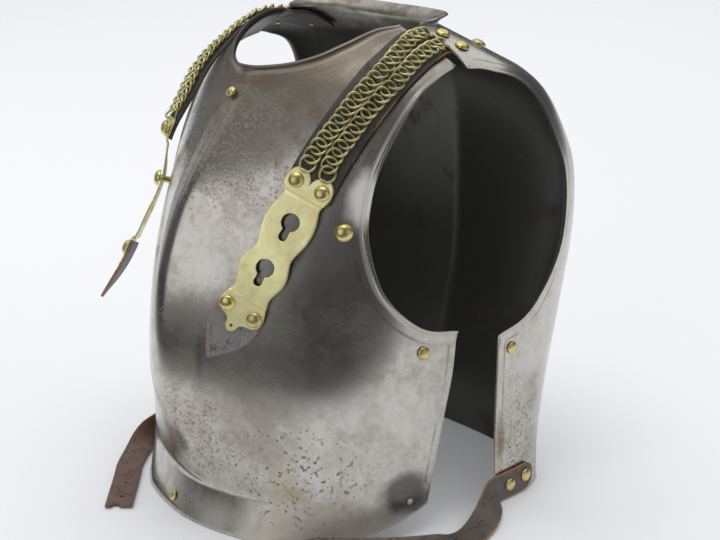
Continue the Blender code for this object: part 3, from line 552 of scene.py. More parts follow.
def collar_rows(edge, outward):
    """Rows of points of the backplate's collar, which leans out from the neck edge."""
    count = len(edge) - 1
    rows = []
    for share in COLLAR_SHARES:
        bend = radians(COLLAR_LEAN) * (COLLAR_FIRST_LEAN + (1 - COLLAR_FIRST_LEAN) * share)
        row = []
        for step, (point, out) in enumerate(zip(edge, outward)):
            away = -Vector((out.x, out.y, 0)).normalized()
            width = COLLAR_WIDTH * min(1.0, COLLAR_LEAST + COLLAR_GROWTH * (count - step) / count)
            row.append(point + (Vector((0, 0, cos(bend))) + away * sin(bend)) * width * share)
        rows.append(row)
    return rows


# %% [markdown]
# ## The two plates
#
# A grid primitive is added, and its vertices are put on the rows of points, as a cloth is laid over
# a form. Mirror makes the other half, Solidify gives the sheet its thickness, Bisect cuts the foot
# level, and a small Bevel takes off the raw edges. Solidify also gives the inner face a material of
# its own, because the inside of a cuirass was painted black and never polished.


# %% A sheet from rows of points
def sheet(name, rows, edge_points=()):
    """A grid primitive laid on rows of points, which remembers how far each is from an edge."""
    nothing()
    bpy.ops.mesh.primitive_grid_add(
        x_subdivisions=len(rows[0]) - 1, y_subdivisions=len(rows) - 1, size=1
    )
    piece = bpy.context.object
    piece.name = piece.data.name = name
    points = [p for row in rows for p in row]
    piece.data.vertices.foreach_set("co", [value * MM for p in points for value in p])
    if edge_points:
        tree = KDTree(len(edge_points))
        for k, point in enumerate(edge_points):
            tree.insert(point, k)
        tree.balance()
        remember_edge(piece, [tree.find(p)[2] for p in points])
    piece.data.update()
    return piece


def remember_edge(piece, distances):
    """Stores the distance from an edge, in millimetres, with each vertex."""
    kept = piece.data.attributes.new("edge", "FLOAT", "POINT")
    kept.data.foreach_set("value", distances)


# %% Rows of a whole half plate
RIDGE_ROUND = 14.0
# The columns next to the ridge, and how many each is cut into so that the ridge can be rounded
RIDGE_COLUMNS = 4
RIDGE_CUTS = 4


def finer_middle(grid):
    """Cuts the columns of a grid next to the ridge into narrower ones."""
    places = [k / RIDGE_CUTS for k in range(RIDGE_COLUMNS * RIDGE_CUTS)]
    first = [grid[:, int(p)] * (1 - p % 1) + grid[:, int(p) + 1] * (p % 1) for p in places]
    return np.concatenate([np.stack(first, axis=1), grid[:, RIDGE_COLUMNS:]], axis=1)


def rounded_ridge(row):
    """Rounds the ridge in a row: its slope falls to nothing over the last few millimetres."""
    beyond = next(p for p in row if p.x > RIDGE_ROUND)
    slope = (beyond.y - row[0].y) / beyond.x
    for point in row:
        if point.x < RIDGE_ROUND:
            point.y += slope * (RIDGE_ROUND - point.x) ** 2 / (2 * RIDGE_ROUND)


def half_plate_rows(surface, outlines):
    """Rows of points of half a plate with its rolled edges, and the points of its edges."""
    is_back = surface is back_point
    grid = plate_grid(surface, **outlines)
    if not is_back:
        grid = finer_middle(grid)
    last = grid.shape[1] - 1
    rows = [[surface(*place) for place in row] for row in grid]

    neck, outward, normals = edge_directions(surface, grid[-1], 1 if is_back else -1)
    if is_back:
        below, above = [], collar_rows(neck, outward)
    else:
        fade = [neck_taper(last - k) for k in range(last + 1)]
        below, above = flange_rows(grid[0]), rolled_rows(neck, outward, normals, fade)
    edge_points = [row[last] for row in rows] + neck

    arm_line = [row[-1] for row in grid[SIDE_ROWS : SIDE_ROWS + ARM_ROWS + 1]]
    arm, outward, normals = edge_directions(surface, arm_line, -1 if is_back else 1)
    rolled = rolled_rows(arm, outward, normals, [arm_taper(k) for k in range(ARM_ROWS + 1)])
    for k, row in enumerate(rows, -SIDE_ROWS):
        row += [line[k] for line in rolled] if 0 <= k <= ARM_ROWS else [row[-1]] * len(rolled)
    for row in below + above:
        row += [row[-1]] * len(rolled)

    rows = below + rows + above
    for row in rows:
        row[0].x = 0
        if not is_back:
            rounded_ridge(row)
    return rows, edge_points


# %% Building a plate
def build_plate(name, surface, outlines, wall):
    """A whole plate with its outer face on the surface and its wall behind that."""
    rows, edge_points = half_plate_rows(surface, outlines)
    plate = sheet(name, rows, edge_points)
    merged(plate)
    if surface is back_point:
        edit_all(plate, bpy.ops.mesh.flip_normals)
    modify(plate, "MIRROR", use_clip=True, merge_threshold=0.0001)
    plate.data.materials.append(None)
    plate.data.materials.append(None)
    modify(plate, "SOLIDIFY", thickness=wall * MM, offset=-1, material_offset=1)
    foot = {"plane_co": (0, 0, 0), "plane_no": (0, 0, 1)}
    edit_all(plate, bpy.ops.mesh.bisect, **foot, use_fill=True, clear_inner=True)
    bevelled(plate, 0.5, angle=60)
    return finished(plate, angle=62)


breastplate = build_plate("breastplate_shell", breast_point, BREAST_OUTLINES, BREAST_WALL)
backplate = build_plate("backplate_shell", back_point, BACK_OUTLINES, BACK_WALL)

# %% [markdown]
# ## Rivets and studs
#
# A lining of cloth was once held by brass rivets along the edges, and only the rivets are left. A
# rivet is a low dome on a shank. The dome is half a flattened sphere: cut level with Bisect, its
# lower face is inset to the shank's size and extruded down. It is modelled once for each size and
# copied. A stud is the same shape on a long neck.

# %% Sizes and places of the rivets
# The underside of a dome lies this far off the face
SEAT = 0.5
# A shank is this much longer than what it goes through, longer still where it held the lining, and
# longer again behind the ridge
PEEN_GAP = 1.0
LINING_GAP = 1.2
RIDGE_GAP = 1.2
LINING_HEAD = 4.9
SIDE_HEAD = 5.8
LINING_SHANK = 2.0
# name, plate, across, height, mirrored too
LINING_RIVETS = (
    ("rivet_neck", "breastplate", 0.0, 379, False),
    ("rivet_side_breast", "breastplate", 0.865, 171, True),
    ("rivet_side_back", "backplate", 1.16, 150, True),
)
# On the flange: across, height of the crease there, share of the way down to the foot
FLANGE_RIVET = (0.11, 33.9, 0.7)
CORNER_RIVET = (0.905, 47.5, 0.42)
CORNER_HEAD = 2.8
CORNER_SHANK = 1.3
# The studs that the hook plates button onto: x, height
STUD_LEFT = (119.5, 277)
STUD_RIGHT = (104, 281)
STUD_NECK = 3.2
STUD_HEAD = 7.6
STUD_RISE = 5.2
STUD_REACH = 10.0
STUD_PEEN = 1.6
# The rise of a rivet's dome as a share of its radius, and of that rise: where the sphere is cut
# level, and how thick the rim is
DOME_RISE = 0.55
DOME_CUT = 0.08
DOME_RIM = 0.1


# %% Modelling and copying a rivet
def model_rivet(head, rise, shank, underside, foot):
    """A domed head over a shank, upright, between the heights of its underside and its foot."""
    nothing()
    bpy.ops.mesh.primitive_uv_sphere_add(segments=28, ring_count=18, radius=1)
    piece = bpy.context.object
    select_part(piece, "FACE", lambda face: True)
    bpy.ops.transform.resize(value=(head * MM, head * MM, rise * MM))
    level = {"plane_co": (0, 0, rise * DOME_CUT * MM), "plane_no": (0, 0, 1)}
    bpy.ops.mesh.bisect(**level, use_fill=True, clear_inner=True)
    select_part(piece, "FACE", lambda face: face.normal.z < -0.99)
    rim = (0, 0, -rise * DOME_RIM * MM)
    bpy.ops.mesh.extrude_region_move(TRANSFORM_OT_translate={"value": rim})
    bpy.ops.mesh.inset(thickness=(head - shank) * MM)
    down = (0, 0, (foot - underside) * MM)
    bpy.ops.mesh.extrude_region_move(TRANSFORM_OT_translate={"value": down})
    bpy.ops.mesh.select_all(action="SELECT")
    bpy.ops.transform.translate(value=(0, 0, underside * MM))
    bpy.ops.object.mode_set(mode="OBJECT")
    return piece


def set_copy(model, name, matrix):
    """A copy of a model with its own mesh, put in place by a matrix in millimetres."""
    only(model)
    bpy.ops.object.duplicate()
    piece = bpy.context.object
    piece.name = piece.data.name = name
    place = matrix.copy()
    place.translation = matrix.translation * MM
    piece.data.transform(place)
    return piece


def frame_matrix(point, normal, along):
    """A matrix whose Z is the normal and whose X is as near to along as it can be."""
    z = normal.normalized()
    y = z.cross(along).normalized()
    x = y.cross(z)
    matrix = Matrix((x, y, z)).transposed().to_4x4()
    matrix.translation = point
    return matrix


def removed(*models):
    """Deletes models once their copies are made."""
    only(*models)
    bpy.ops.object.delete()


# %% [markdown]
# Places are worked out on the faces of the plates. The wearer's left is +X, and whatever sits on
# the left is mirrored for the right.


# %% Places on the faces
def mirrored(vector):
    return Vector((-vector.x, vector.y, vector.z))


def sided(place, side):
    """A (point, normal) place on the wearer's left, or its mirror image for side -1."""
    point, normal = place
    return (point, normal) if side > 0 else (mirrored(point), mirrored(normal))


def placed(x, y, z):
    """A point with its y as in the tables."""
    return Vector((x, y - ORIGIN_Y, z))


def lifted(place, lift):
    """A (point, normal) place moved off its face."""
    point, normal = place
    return point + normal * lift, normal


def seat_matrix(place, along=Vector((0, 0, 1))):
    return frame_matrix(place[0], place[1], along)


def flange_place(across, crease, share):
    """(point, normal) on the outer face of the flange."""
    point = flange_point(across, crease, share)
    beside = flange_point(across + 0.02, crease, share)
    upper, lower = (flange_point(across, crease, share + step) for step in (-0.05, 0.05))
    return point, (beside - point).cross(upper - lower).normalized()


# %% The rivets of the plates
rivets, rivet_models = {}, {}


def add_rivet(name, matrix, head, shank, depth):
    """Seats a copy of the rivet of this size, and keeps it by the name of its node."""
    size = (head, shank, depth)
    if size not in rivet_models:
        rivet_models[size] = model_rivet(head, head * DOME_RISE, shank, SEAT, SEAT - depth)
    rivets[name] = finished(set_copy(rivet_models[size], name + "_dome", matrix), angle=50)


SURFACES = {"breastplate": (breast_point, BREAST_WALL), "backplate": (back_point, BACK_WALL)}
for name, plate, across, height, both in LINING_RIVETS:
    surface, wall = SURFACES[plate]
    for side, label in SIDES if both else SIDES[:1]:
        matrix = seat_matrix(sided(face_place(surface, across, height), side))
        depth = wall + PEEN_GAP + LINING_GAP + (0 if across else RIDGE_GAP)
        label = f"{name}_{label}" if both else name
        add_rivet(label, matrix, SIDE_HEAD if both else LINING_HEAD, LINING_SHANK, depth)
matrix = seat_matrix(sided(flange_place(*FLANGE_RIVET), -1))
add_rivet("rivet_flange", matrix, LINING_HEAD, LINING_SHANK, BREAST_WALL + PEEN_GAP)
for side, label in SIDES:
    matrix = seat_matrix(sided(flange_place(*CORNER_RIVET), side))
    add_rivet(f"rivet_corner_{label}", matrix, CORNER_HEAD, CORNER_SHANK, BREAST_WALL + PEEN_GAP)

# %% The two studs
stud_places = {1: chest_place(*STUD_LEFT), -1: sided(chest_place(*STUD_RIGHT), -1)}
stud_model = model_rivet(STUD_HEAD, STUD_RISE, STUD_NECK, STUD_REACH, -BREAST_WALL - STUD_PEEN)
studs = {}
for side, label in SIDES:
    stud = set_copy(stud_model, f"stud_{label}_dome", seat_matrix(stud_places[side]))
    studs[f"stud_{label}"] = finished(stud, angle=50)
removed(stud_model)

# %% [markdown]
# ## A route for each strap
#
# A strap is a flat strip that follows a line over the shoulder. A Route is that line: knots of a
# point and an outward direction, joined by a smooth curve, and read by its distance from the start.
# The left strap lies on the chest. The right one arches off it and hangs free beyond its stud.

# %% Knots and sizes of the straps
STRAP_HALF = 21.0
# Under the backplate's shoulder: x, y, depth of the strap's upper face under the plate's
TONGUE_KNOTS = ((109, 263, 2.2), (107, 245, 2.0), (105, 227, 1.8), (104, 210, 1.7))
# Down the chest: x, height, lift off the plate
LEFT_CHEST_KNOTS = (
    (106, 415, 2.2), (109, 404, 0.8), (107.5, 389, 1.4), (101.5, 359, 2.8), (94.5, 327, 4.2),
    (86, 283, 5.2), (76, 246, 5.2), (64, 210, 3.6), (45.5, 174, 1.6),
)
# The right strap arches off the chest, is held by its stud and hangs free beyond it.
RIGHT_CHEST_KNOTS = (
    (102, 415, 3.2), (100, 384, 5.2), (98, 352, 8.5), (99, 320, 11.5), (104, 281, 5.5),
    (102, 240, 15.0), (97, 207, 27.0), (91, 178, 43.0),
)
# Above its stud the right strap leans towards the neck: height, share of the lean
RIGHT_STRAP_LEAN = Vector((-0.15, 0.0, 0.13))
LEAN_STEPS = ((281, 0.0), (320, 0.8), (352, 1.0), (384, 1.0), (405, 0.7), (415, 0.3))
# Leather from the end of its tongue: distance, half_width, lift, droop
STRAP = (
    (0, 18, 0, 1.2), (4, 20, 0, 1.2), (56, 20, 0, 1.2), (66, 20, 0, 0.2), (80, STRAP_HALF, 0, 0.4),
)
# The leather ends this far under the hook plate, where it has this droop
STRAP_STOP = 16.0
STRAP_DROOP = 0.6
# Its tip, from the tops of the hook plate's lobes
STRAP_TIP = (
    (119, 18.5, 0, 0.6), (126, 21, 0, 0.6), (138, 21.6, 0, 0.6), (148, 19.5, 0, 0.5),
    (158, 15.5, 0, 0.4), (167, 9.5, 0, 0.2), (174, 4.8, 0, 0), (178.5, 1.2, 0, 0),
)
# On the left the upper rivets of the hook plate sit near this place, this far from its end
LOBE_RIVET_PLACE = (92, 74, 312)
PLATE_TO_LOBE_RIVETS = 9.0
# Keyholes of the hook plate: their distances from its end, and their sizes
KEYHOLES = (42.0, 85.0)
KEYHOLE_ROUND = 7.9
KEYHOLE_SLOT = 3.8
KEYHOLE_LENGTH = 17.0


# %% Routes
class Route:
    """A smooth line through knots of (point, normal), read by its distance from the start."""

    def __init__(self, knots):
        self.curve = smooth_curve([(*point, *normal) for point, normal in knots])
        self.distances = [0.0]
        for a, b in zip(self.curve[:-1], self.curve[1:]):
            self.distances.append(self.distances[-1] + (Vector(b[:3]) - Vector(a[:3])).length)
        self.length = self.distances[-1]

    def frame(self, distance):
        """(point, along, side, normal) at a distance along the line."""
        k = span_at(self.distances, distance)
        start, end = self.curve[k], self.curve[k + 1]
        share = (distance - self.distances[k]) / (self.distances[k + 1] - self.distances[k])
        values = start + (end - start) * share
        along = (Vector(end[:3]) - Vector(start[:3])).normalized()
        side = along.cross(Vector(values[3:])).normalized()
        return Vector(values[:3]), along, side, side.cross(along)

    def point(self, distance, across, height):
        middle, _, side, normal = self.frame(distance)
        return middle + side * across + normal * height

    def seat(self, distance, across, height):
        """A matrix at a place on the strip, with its X along the line and its Z outwards."""
        _, along, _, normal = self.frame(distance)
        return frame_matrix(self.point(distance, across, height), normal, along)

    def nearest(self, goal):
        """The distance along the line at which it passes nearest to a point."""
        gaps = [(Vector(p[:3]) - goal).length for p in self.curve]
        return self.distances[gaps.index(min(gaps))]


# %% Stations on a route
# Stations don't lie closer to each other than this
CLOSEST = 0.5


def table_stations(table, step):
    """Stations at even distances, read from a table of (distance, half_width, height, droop)."""
    start, end = table[0][0], table[-1][0]
    distances = {row[0] for row in table}
    count = max(1, round((end - start) / step))
    distances |= {start + (end - start) * k / count for k in range(count + 1)}
    stations = []
    for distance in sorted(distances):
        k = span_at([row[0] for row in table], distance)
        low, high = table[k], table[k + 1]
        share = (distance - low[0]) / (high[0] - low[0])
        if not stations or distance - stations[-1][0] > CLOSEST:
            stations.append([a + (b - a) * share for a, b in zip(low, high)])
    return stations


def strap_route(side):
    knots = []
    for x, y, depth in TONGUE_KNOTS:
        knots.append(lifted(shoulder_place(x, y), -(BACK_WALL + LEATHER + depth)))
    chest = LEFT_CHEST_KNOTS if side > 0 else RIGHT_CHEST_KNOTS
    for x, height, lift in chest:
        point, normal = lifted(chest_place(x, height), lift)
        if side < 0:
            lean = float(np.interp(height, *zip(*LEAN_STEPS), 0, 0))
            normal = (normal + RIGHT_STRAP_LEAN * lean).normalized()
        knots.append((point, normal))
    return Route([sided(knot, side) for knot in knots])


def plate_start(route, side, stud):
    """The distance along a strap at which the lobes of its hook plate begin."""
    if side > 0:
        return route.nearest(placed(*LOBE_RIVET_PLACE)) - PLATE_TO_LOBE_RIVETS
    slot_end = KEYHOLES[0] + KEYHOLE_LENGTH - KEYHOLE_SLOT
    return route.nearest(stud[0] + stud[1] * STUD_REACH / 2) - slot_end


# %% [markdown]
# ## Leather
#
# Strap leather is cut from a hide and is about as thick as a coin. Each strip is a grid laid along
# its route, thickened, and bevelled at its long edges, where use has rounded it. It keeps the
# distance from its edge, because a cut edge has another colour than the grain side.


# %% A strip along a route
def strip(name, route, stations, thickness, cuts=10, bevel=0.5):
    """A strip of sheet along a route: stations of (distance, half_width, height, droop)."""
    rows, distances = [], []
    start, end = stations[0][0], stations[-1][0]
    shares = [2 * k / cuts - 1 for k in range(cuts + 1)]
    for distance, half_width, height, droop in stations:
        levels = [height + thickness - droop * s * s for s in shares]
        rows.append([route.point(distance, half_width * s, z) for s, z in zip(shares, levels)])
        ends = min(distance - start, end - distance)
        distances += [min(half_width * (1 - abs(s)), ends) for s in shares]
    piece = sheet(name, rows)
    remember_edge(piece, distances)
    modify(piece, "SOLIDIFY", thickness=thickness * MM, offset=-1, use_even_offset=True)
    if bevel:
        bevelled(piece, bevel, angle=50)
    return piece


def moved(table, start):
    """A table of stations or of an outline, moved along a route."""
    return [(row[0] + start, *row[1:]) for row in table]


def flowing(table):
    """Stations on a smooth curve through the rows of a table."""
    return [tuple(row) for row in smooth_curve(table, per_span=10)]


# %% The straps and their tips
routes = {side: strap_route(side) for side, _ in SIDES}
starts = {side: plate_start(routes[side], side, stud_places[side]) for side, _ in SIDES}
straps, tips = {}, {}
for side, label in SIDES:
    leather = (*STRAP, (starts[side] + STRAP_STOP, STRAP_HALF, 0, STRAP_DROOP))
    stations = table_stations(leather, step=3)
    straps[side] = finished(strip(f"strap_{label}_leather", routes[side], stations, LEATHER))
    stations = flowing(moved(STRAP_TIP, starts[side]))
    tip = strip(f"strap_tip_{label}_leather", routes[side], stations, LEATHER, cuts=8)
    tips[side] = finished(tip)

# %% [markdown]
# ## The rings
#
# Each strap is faced with two rows of linked brass rings. In such a row every ring lies over one
# neighbour on its inner side and under it on the outer side, so a ring isn't flat: it has a slight
# twist, up and down twice round. One torus is given that twist, and is then copied down each row
# with small turns of its own, as loose rings lie.

# %% One ring
RING_RADIUS = 6.7
WIRE_RADIUS = 1.15
RING_TWIST = 1.45
RING_PITCH = 7.9
RING_CLEARANCE = 0.45
RING_LEVEL = LEATHER + RING_CLEARANCE + WIRE_RADIUS + RING_TWIST
# How far rings lie from their even places: along, across, and turned or tilted, in degrees
STRAY_ALONG = 0.35
STRAY_ACROSS = 0.3
STRAY_TURNS = (("Z", 7), ("X", 2.5), ("Y", 2.5))
# Where the strap comes out from under the shoulder's edge. The rows start this far past that edge,
# and stop this far short of the hook plate
SHOULDER_FRONT = (104, 204, 420)
CHAIN_START = 1.0
CHAIN_STOP = 6.5

nothing()
bpy.ops.mesh.primitive_torus_add(
    major_radius=RING_RADIUS * MM, minor_radius=WIRE_RADIUS * MM, major_segments=26,
    minor_segments=8,
)
ring_model = bpy.context.object
for vertex in ring_model.data.vertices:
    turn = atan2(vertex.co.y, vertex.co.x)
    vertex.co.z += RING_TWIST * MM * sin(2 * turn)

# %% Rows of rings
# Where each row wanders on its strap: distance along the strap, place across it
ROW_WANDER = {
    "inner": ((83, 8), (103, 7), (121, 5.4), (133, 4.6), (146, 5.4), (161, 7), (183, 7), (194, 8),
              (204, 9.4), (215, 10.4), (225, 9.6)),
    "outer": ((76, -11), (84, -9.6), (103, -9), (115, -10), (129, -11.4), (142, -9.6), (157, -9),
              (166, -7.6), (179, -8), (190, -8), (203, -6.2), (214, -6.2), (225, -9)),
}
# The rows of the right strap wander in the same way, this much sooner
RIGHT_SHIFT = 11
chains = {}
dice = Random(19)
for side, label in SIDES:
    edge = placed(*SHOULDER_FRONT)
    first = routes[side].nearest(edge if side > 0 else mirrored(edge)) + CHAIN_START
    last = starts[side] - CHAIN_STOP
    for row, wander in ROW_WANDER.items():
        rings = []
        for k in range(int((last - first) / RING_PITCH) + 1):
            distance = last - RING_PITCH * k + dice.uniform(-STRAY_ALONG, STRAY_ALONG)
            wandering = distance + (0 if side > 0 else RIGHT_SHIFT)
            across = np.interp(wandering, *zip(*wander))
            across += dice.uniform(-STRAY_ACROSS, STRAY_ACROSS)
            place = routes[side].seat(distance, across * side, RING_LEVEL)
            for axis, most in STRAY_TURNS:
                place @= Matrix.Rotation(radians(dice.uniform(-most, most)), 4, axis)
            if side < 0:
                place @= Matrix.Rotation(pi / 2, 4, "Z")
            rings.append(set_copy(ring_model, "ring", place))
        name = f"chain_{label}_{row}"
        chains[name] = finished(joined(name + "_rings", rings), angle=60)
removed(ring_model)

# %% [markdown]
# ## The hook plates
#
# The lower end of each strap is a long cast brass plate. It starts in two round lobes, each held by
# a large rivet, with a sharp notch between them. A step runs across where the plate comes down off
# the leather. Its sides swell round each keyhole, and a small tab ends it. Half the plate is a grid
# between an inner and an outer line, and the other half is its mirror image on the same strip.

# %% Outline of a hook plate
# A lobe is round as far as this distance from its top. Its middle line lies this far across, and it
# reaches this much farther out
LOBE_END = 9
LOBE_MIDDLE = 11.6
LOBE_OUT = 9.4
PLATE_END = 147.2
# distance from the tops of the lobes, half the width there
PLATE_SIDES = (
    (9, 21.0), (12, 20.9), (15, 20.2), (17.5, 18.9), (19.5, 17.6), (21.5, 17.1), (24, 17.1),
    (27, 17.9), (31, 19.3), (36, 20.5), (41, 21.1), (46, 21.2), (51, 20.8), (56, 19.8), (60, 18.6),
    (64, 17.3), (67, 16.6), (69.5, 16.4), (72, 16.6), (75, 17.4), (79, 18.9), (83, 20.2),
    (87, 20.9), (91, 20.9), (95, 20.2), (99, 18.8), (103, 17.2), (106, 16.3), (108.5, 16.1),
    (111, 16.5), (114, 17.4), (117, 18.4), (119, 19.2), (124, 20.3), (128, 20.5), (130.5, 19.8),
    (132.6, 18.2), (134, 16.0), (134.9, 13.0), (135.5, 10.6), (136.4, 8.2), (138, 6.4), (140, 5.6),
    (142.5, 5.2), (144.4, 4.2), (145.8, 2.8), (146.6, 1.4), (146.8, 0.6),
)
# distance, height of the plate's lower face: it steps off the leather and on to the tip
PLATE_HEIGHTS = (
    (-2, OVER_LEATHER), (16.8, OVER_LEATHER), (19.4, GAP + 0.25), (21, GAP + 0.25), (22, GAP),
    (113.5, GAP), (116.6, OVER_LEATHER), (150, OVER_LEATHER),
)
# Tarnish gathers along the two steps, which count as edges for it, but not quite as sharp ones
PLATE_FOLDS = (19.0, 115.4)
FOLD_EDGE = 0.3
# Rows of points stand closer where the outline or the height turns: first, step, count
PLATE_ROWS = ((0.5, 0.5, 44), (23, 1, 90), (113.5, 0.5, 68))
LOBE_TOP_ROWS = (-1.75, -1.4, -0.9, -0.2)
PLATE_COLUMNS = 10
NO_EDGE = 99
PLATE_RIVETS = ((9, 12.2), (9, -12.2), (126.5, 13.2), (126.5, -13.2))
PLATE_HEAD = 6.6
PLATE_SHANK = 1.9
# The hole in the tab: its distance from the tops of the lobes
TAB_HOLE = 141.5
TAB_HOLE_RADIUS = 1.4


def plate_line(distance):
    """(inner, outer, height) of half a hook plate at a distance from the tops of its lobes."""
    height = float(np.interp(distance, *zip(*PLATE_HEIGHTS)))
    if distance >= LOBE_END:
        return 0.0, float(np.interp(distance, *zip(*PLATE_SIDES))), height
    share = sqrt(max(0.0, 1 - ((LOBE_END - distance) / LOBE_MIDDLE) ** 2))
    return LOBE_MIDDLE * (1 - share), LOBE_MIDDLE + LOBE_OUT * share, height


# %% Cutting holes with prisms
def cut(piece, route, line, low=-4, high=8):
    """Cuts a hole through a piece between two heights over a route.

    The line is the hole's outline, as points of (distance, across) on the route.
    """
    nothing()
    bpy.ops.mesh.primitive_circle_add(vertices=len(line), radius=1, fill_type="NGON")
    cutter = bpy.context.object
    for vertex, (distance, across) in zip(cutter.data.vertices, line):
        vertex.co = route.point(distance, across, low) * MM
    middle = sum(distance for distance, _ in line) / len(line)
    rise = route.frame(middle)[3] * (high - low) * MM
    select_part(cutter, "FACE", lambda face: True)
    bpy.ops.mesh.extrude_region_move(TRANSFORM_OT_translate={"value": rise})
    bpy.ops.mesh.select_all(action="SELECT")
    bpy.ops.mesh.normals_make_consistent(inside=False)
    bpy.ops.object.mode_set(mode="OBJECT")
    modify(piece, "BOOLEAN", operation="DIFFERENCE", solver="EXACT", object=cutter)
    removed(cutter)


def disc(distance, across, radius, segments):
    """A round outline for a hole."""
    turns = [2 * pi * k / segments for k in range(segments)]
    return [(distance + radius * cos(t), across + radius * sin(t)) for t in turns]


def keyhole(distance, steps=36):
    """A round hole with a slot that runs on towards the strap's tip and ends round."""
    slot_end = distance + KEYHOLE_LENGTH - KEYHOLE_SLOT
    points = []
    for k in range(steps + 1):
        turn = -pi / 2 + pi * k / steps
        points.append((slot_end + KEYHOLE_SLOT * cos(turn), KEYHOLE_SLOT * sin(turn)))
    opening = atan2(KEYHOLE_SLOT, KEYHOLE_ROUND)
    for k in range(2 * steps + 1):
        turn = opening + (pi - opening) * k / steps
        points.append((distance + KEYHOLE_ROUND * cos(turn), KEYHOLE_ROUND * sin(turn)))
    return points


# %% Building a hook plate
def half_hook_plate(route, start, turn):
    """The left half of a hook plate, or its mirror image for turn -1, as a sheet."""
    distances = list(LOBE_TOP_ROWS)
    for first, step, count in PLATE_ROWS:
        distances += [first + step * k for k in range(count)]
    rows, edges = [], []
    for distance in distances:
        inner, outer, height = plate_line(distance)
        width = outer - inner
        fold = FOLD_EDGE + min(abs(distance - line) for line in PLATE_FOLDS)
        row = []
        for k in range(PLATE_COLUMNS + 1):
            share = k / PLATE_COLUMNS if turn > 0 else 1 - k / PLATE_COLUMNS
            across = turn * (inner + width * share)
            row.append(route.point(start + distance, across, height + BRASS_SHEET))
            notch = width * share if inner else NO_EDGE
            edges.append(min(width * (1 - share), notch, PLATE_END - distance, fold))
        rows.append(row)
    half = sheet("half", rows)
    remember_edge(half, edges)
    return half


hook_plates = {}
for side, label in SIDES:
    route, start = routes[side], starts[side]
    halves = [half_hook_plate(route, start, turn) for turn in (1, -1)]
    plate = joined(f"hook_plate_{label}_brass", halves)
    merged(plate)
    modify(plate, "SOLIDIFY", thickness=BRASS_SHEET * MM, offset=-1)
    for distance in KEYHOLES:
        cut(plate, route, keyhole(start + distance))
    cut(plate, route, disc(start + TAB_HOLE, 0, TAB_HOLE_RADIUS, segments=16))
    bevelled(plate, 0.45, angle=48)
    hook_plates[side] = finished(plate, angle=40)

# %% The rivets of the straps
# Where each strap is riveted through the backplate's shoulder: x, y
SHOULDER_RIVETS = ((103, 215), (123, 218), (110, 253))
SHOULDER_HEAD = 6.5
SHOULDER_SHANK = 2.2
for side, label in SIDES:
    for number, (x, y) in enumerate(SHOULDER_RIVETS, 1):
        matrix = seat_matrix(sided(shoulder_place(x, y), side), Vector((0, 1, 0)))
        depth = BACK_WALL + LEATHER + TONGUE_KNOTS[0][2] + PEEN_GAP
        add_rivet(f"rivet_shoulder_{label}_{number}", matrix, SHOULDER_HEAD, SHOULDER_SHANK, depth)
    for number, (distance, across) in enumerate(PLATE_RIVETS, 1):
        depth = BRASS_SHEET + OVER_LEATHER
        matrix = routes[side].seat(starts[side] + distance, across, depth)
        add_rivet(f"rivet_plate_{label}_{number}", matrix, PLATE_HEAD, PLATE_SHANK, depth)

# %% [markdown]
# ## The belt
#
# Each half of the waist belt is riveted to the side of the backplate and hangs loose. Over the
# years the leather has taken a twist. The left half ends in a plain buckle, and the right half has
# two holes and a torn end.

# %% Knots and sizes of the belt
BELT_HALF = 12.5
# The riveted pad, on the backplate's outer face: across, height
PAD_KNOTS = ((0.93, 14.6), (0.985, 15.2), (1.09, 14.2), (1.225, 13.9))
PAD_LIFT = 0.9
PAD = ((0, 5, 0, 0), (3, 9.5, 0, 0), (9, 12.8, 0, 0), (48, 13, 0, 0), (60, BELT_HALF, 0, 0))
PAD_RIVETS = ((11, 1.0), (32.5, -0.5))
PAD_HEAD = 6.0
# The rest of each belt: x, y, z of its face towards the plate, and the outward normal there
BELT_LEFT_KNOTS = (
    ((173, 219, 13.6), (0.95, 0, 0.3)), ((184, 203, 10.6), (0.7, 0.1, 0.7)),
    ((194, 184, 5.6), (0.35, 0, 0.95)), ((202, 160, 2.8), (0.15, 0, 1)),
    ((206.5, 136, 5), (0.3, 0, 1)), ((204, 113, 9), (0.6, -0.2, 0.75)),
    ((193, 90, 10.6), (0.6, -0.4, 0.68)), ((174, 67, 10.5), (0.52, -0.52, 0.68)),
    ((153, 48, 10.4), (0.45, -0.58, 0.68)), ((139, 34, 9.2), (0.42, -0.45, 0.78)),
    ((130, 20, 5.4), (0.3, -0.15, 0.93)), ((125, 8, 1.9), (0.1, 0, 1)), ((121, -4, 0.7), (0, 0, 1)),
    ((112, -31, 0.7), (0, 0, 1)), ((103, -56, 0.7), (0, 0, 1)),
)
BELT_RIGHT_KNOTS = (
    ((-174, 212, 13.6), (-1, 0, 0)), ((-181, 180, 13.4), (-1, 0, 0)),
    ((-178, 140, 13.3), (-1, -0.1, 0)), ((-168, 104, 13.3), (-0.9, -0.4, 0)),
    ((-159, 81, 13.2), (-0.8, -0.5, -0.1)), ((-152, 65, 10.4), (-0.45, -0.4, -0.7)),
    ((-143, 47, 4.2), (-0.06, -0.06, -1)), ((-123, 24, 3.1), (0, 0, -1)),
    ((-102, 6, 3.1), (0, 0, -1)), ((-57, -34, 3.1), (0, 0, -1)),
)
# Near the torn end of the right belt are two holes (distance from the end, radius), and the tear
# has taken a round bite out of the end
BELT_HOLES = ((18, 1.6), (46, 1.6))
BELT_HOLES_ACROSS = 1
BELT_BITE = 4.5
BELT_BITE_ACROSS = -3
# All are cut between these heights over the route
BELT_CUT = (-3, 6)

# The left belt ends this far before the end of its route, which the buckle reaches
BUCKLE_REACH = 35.0


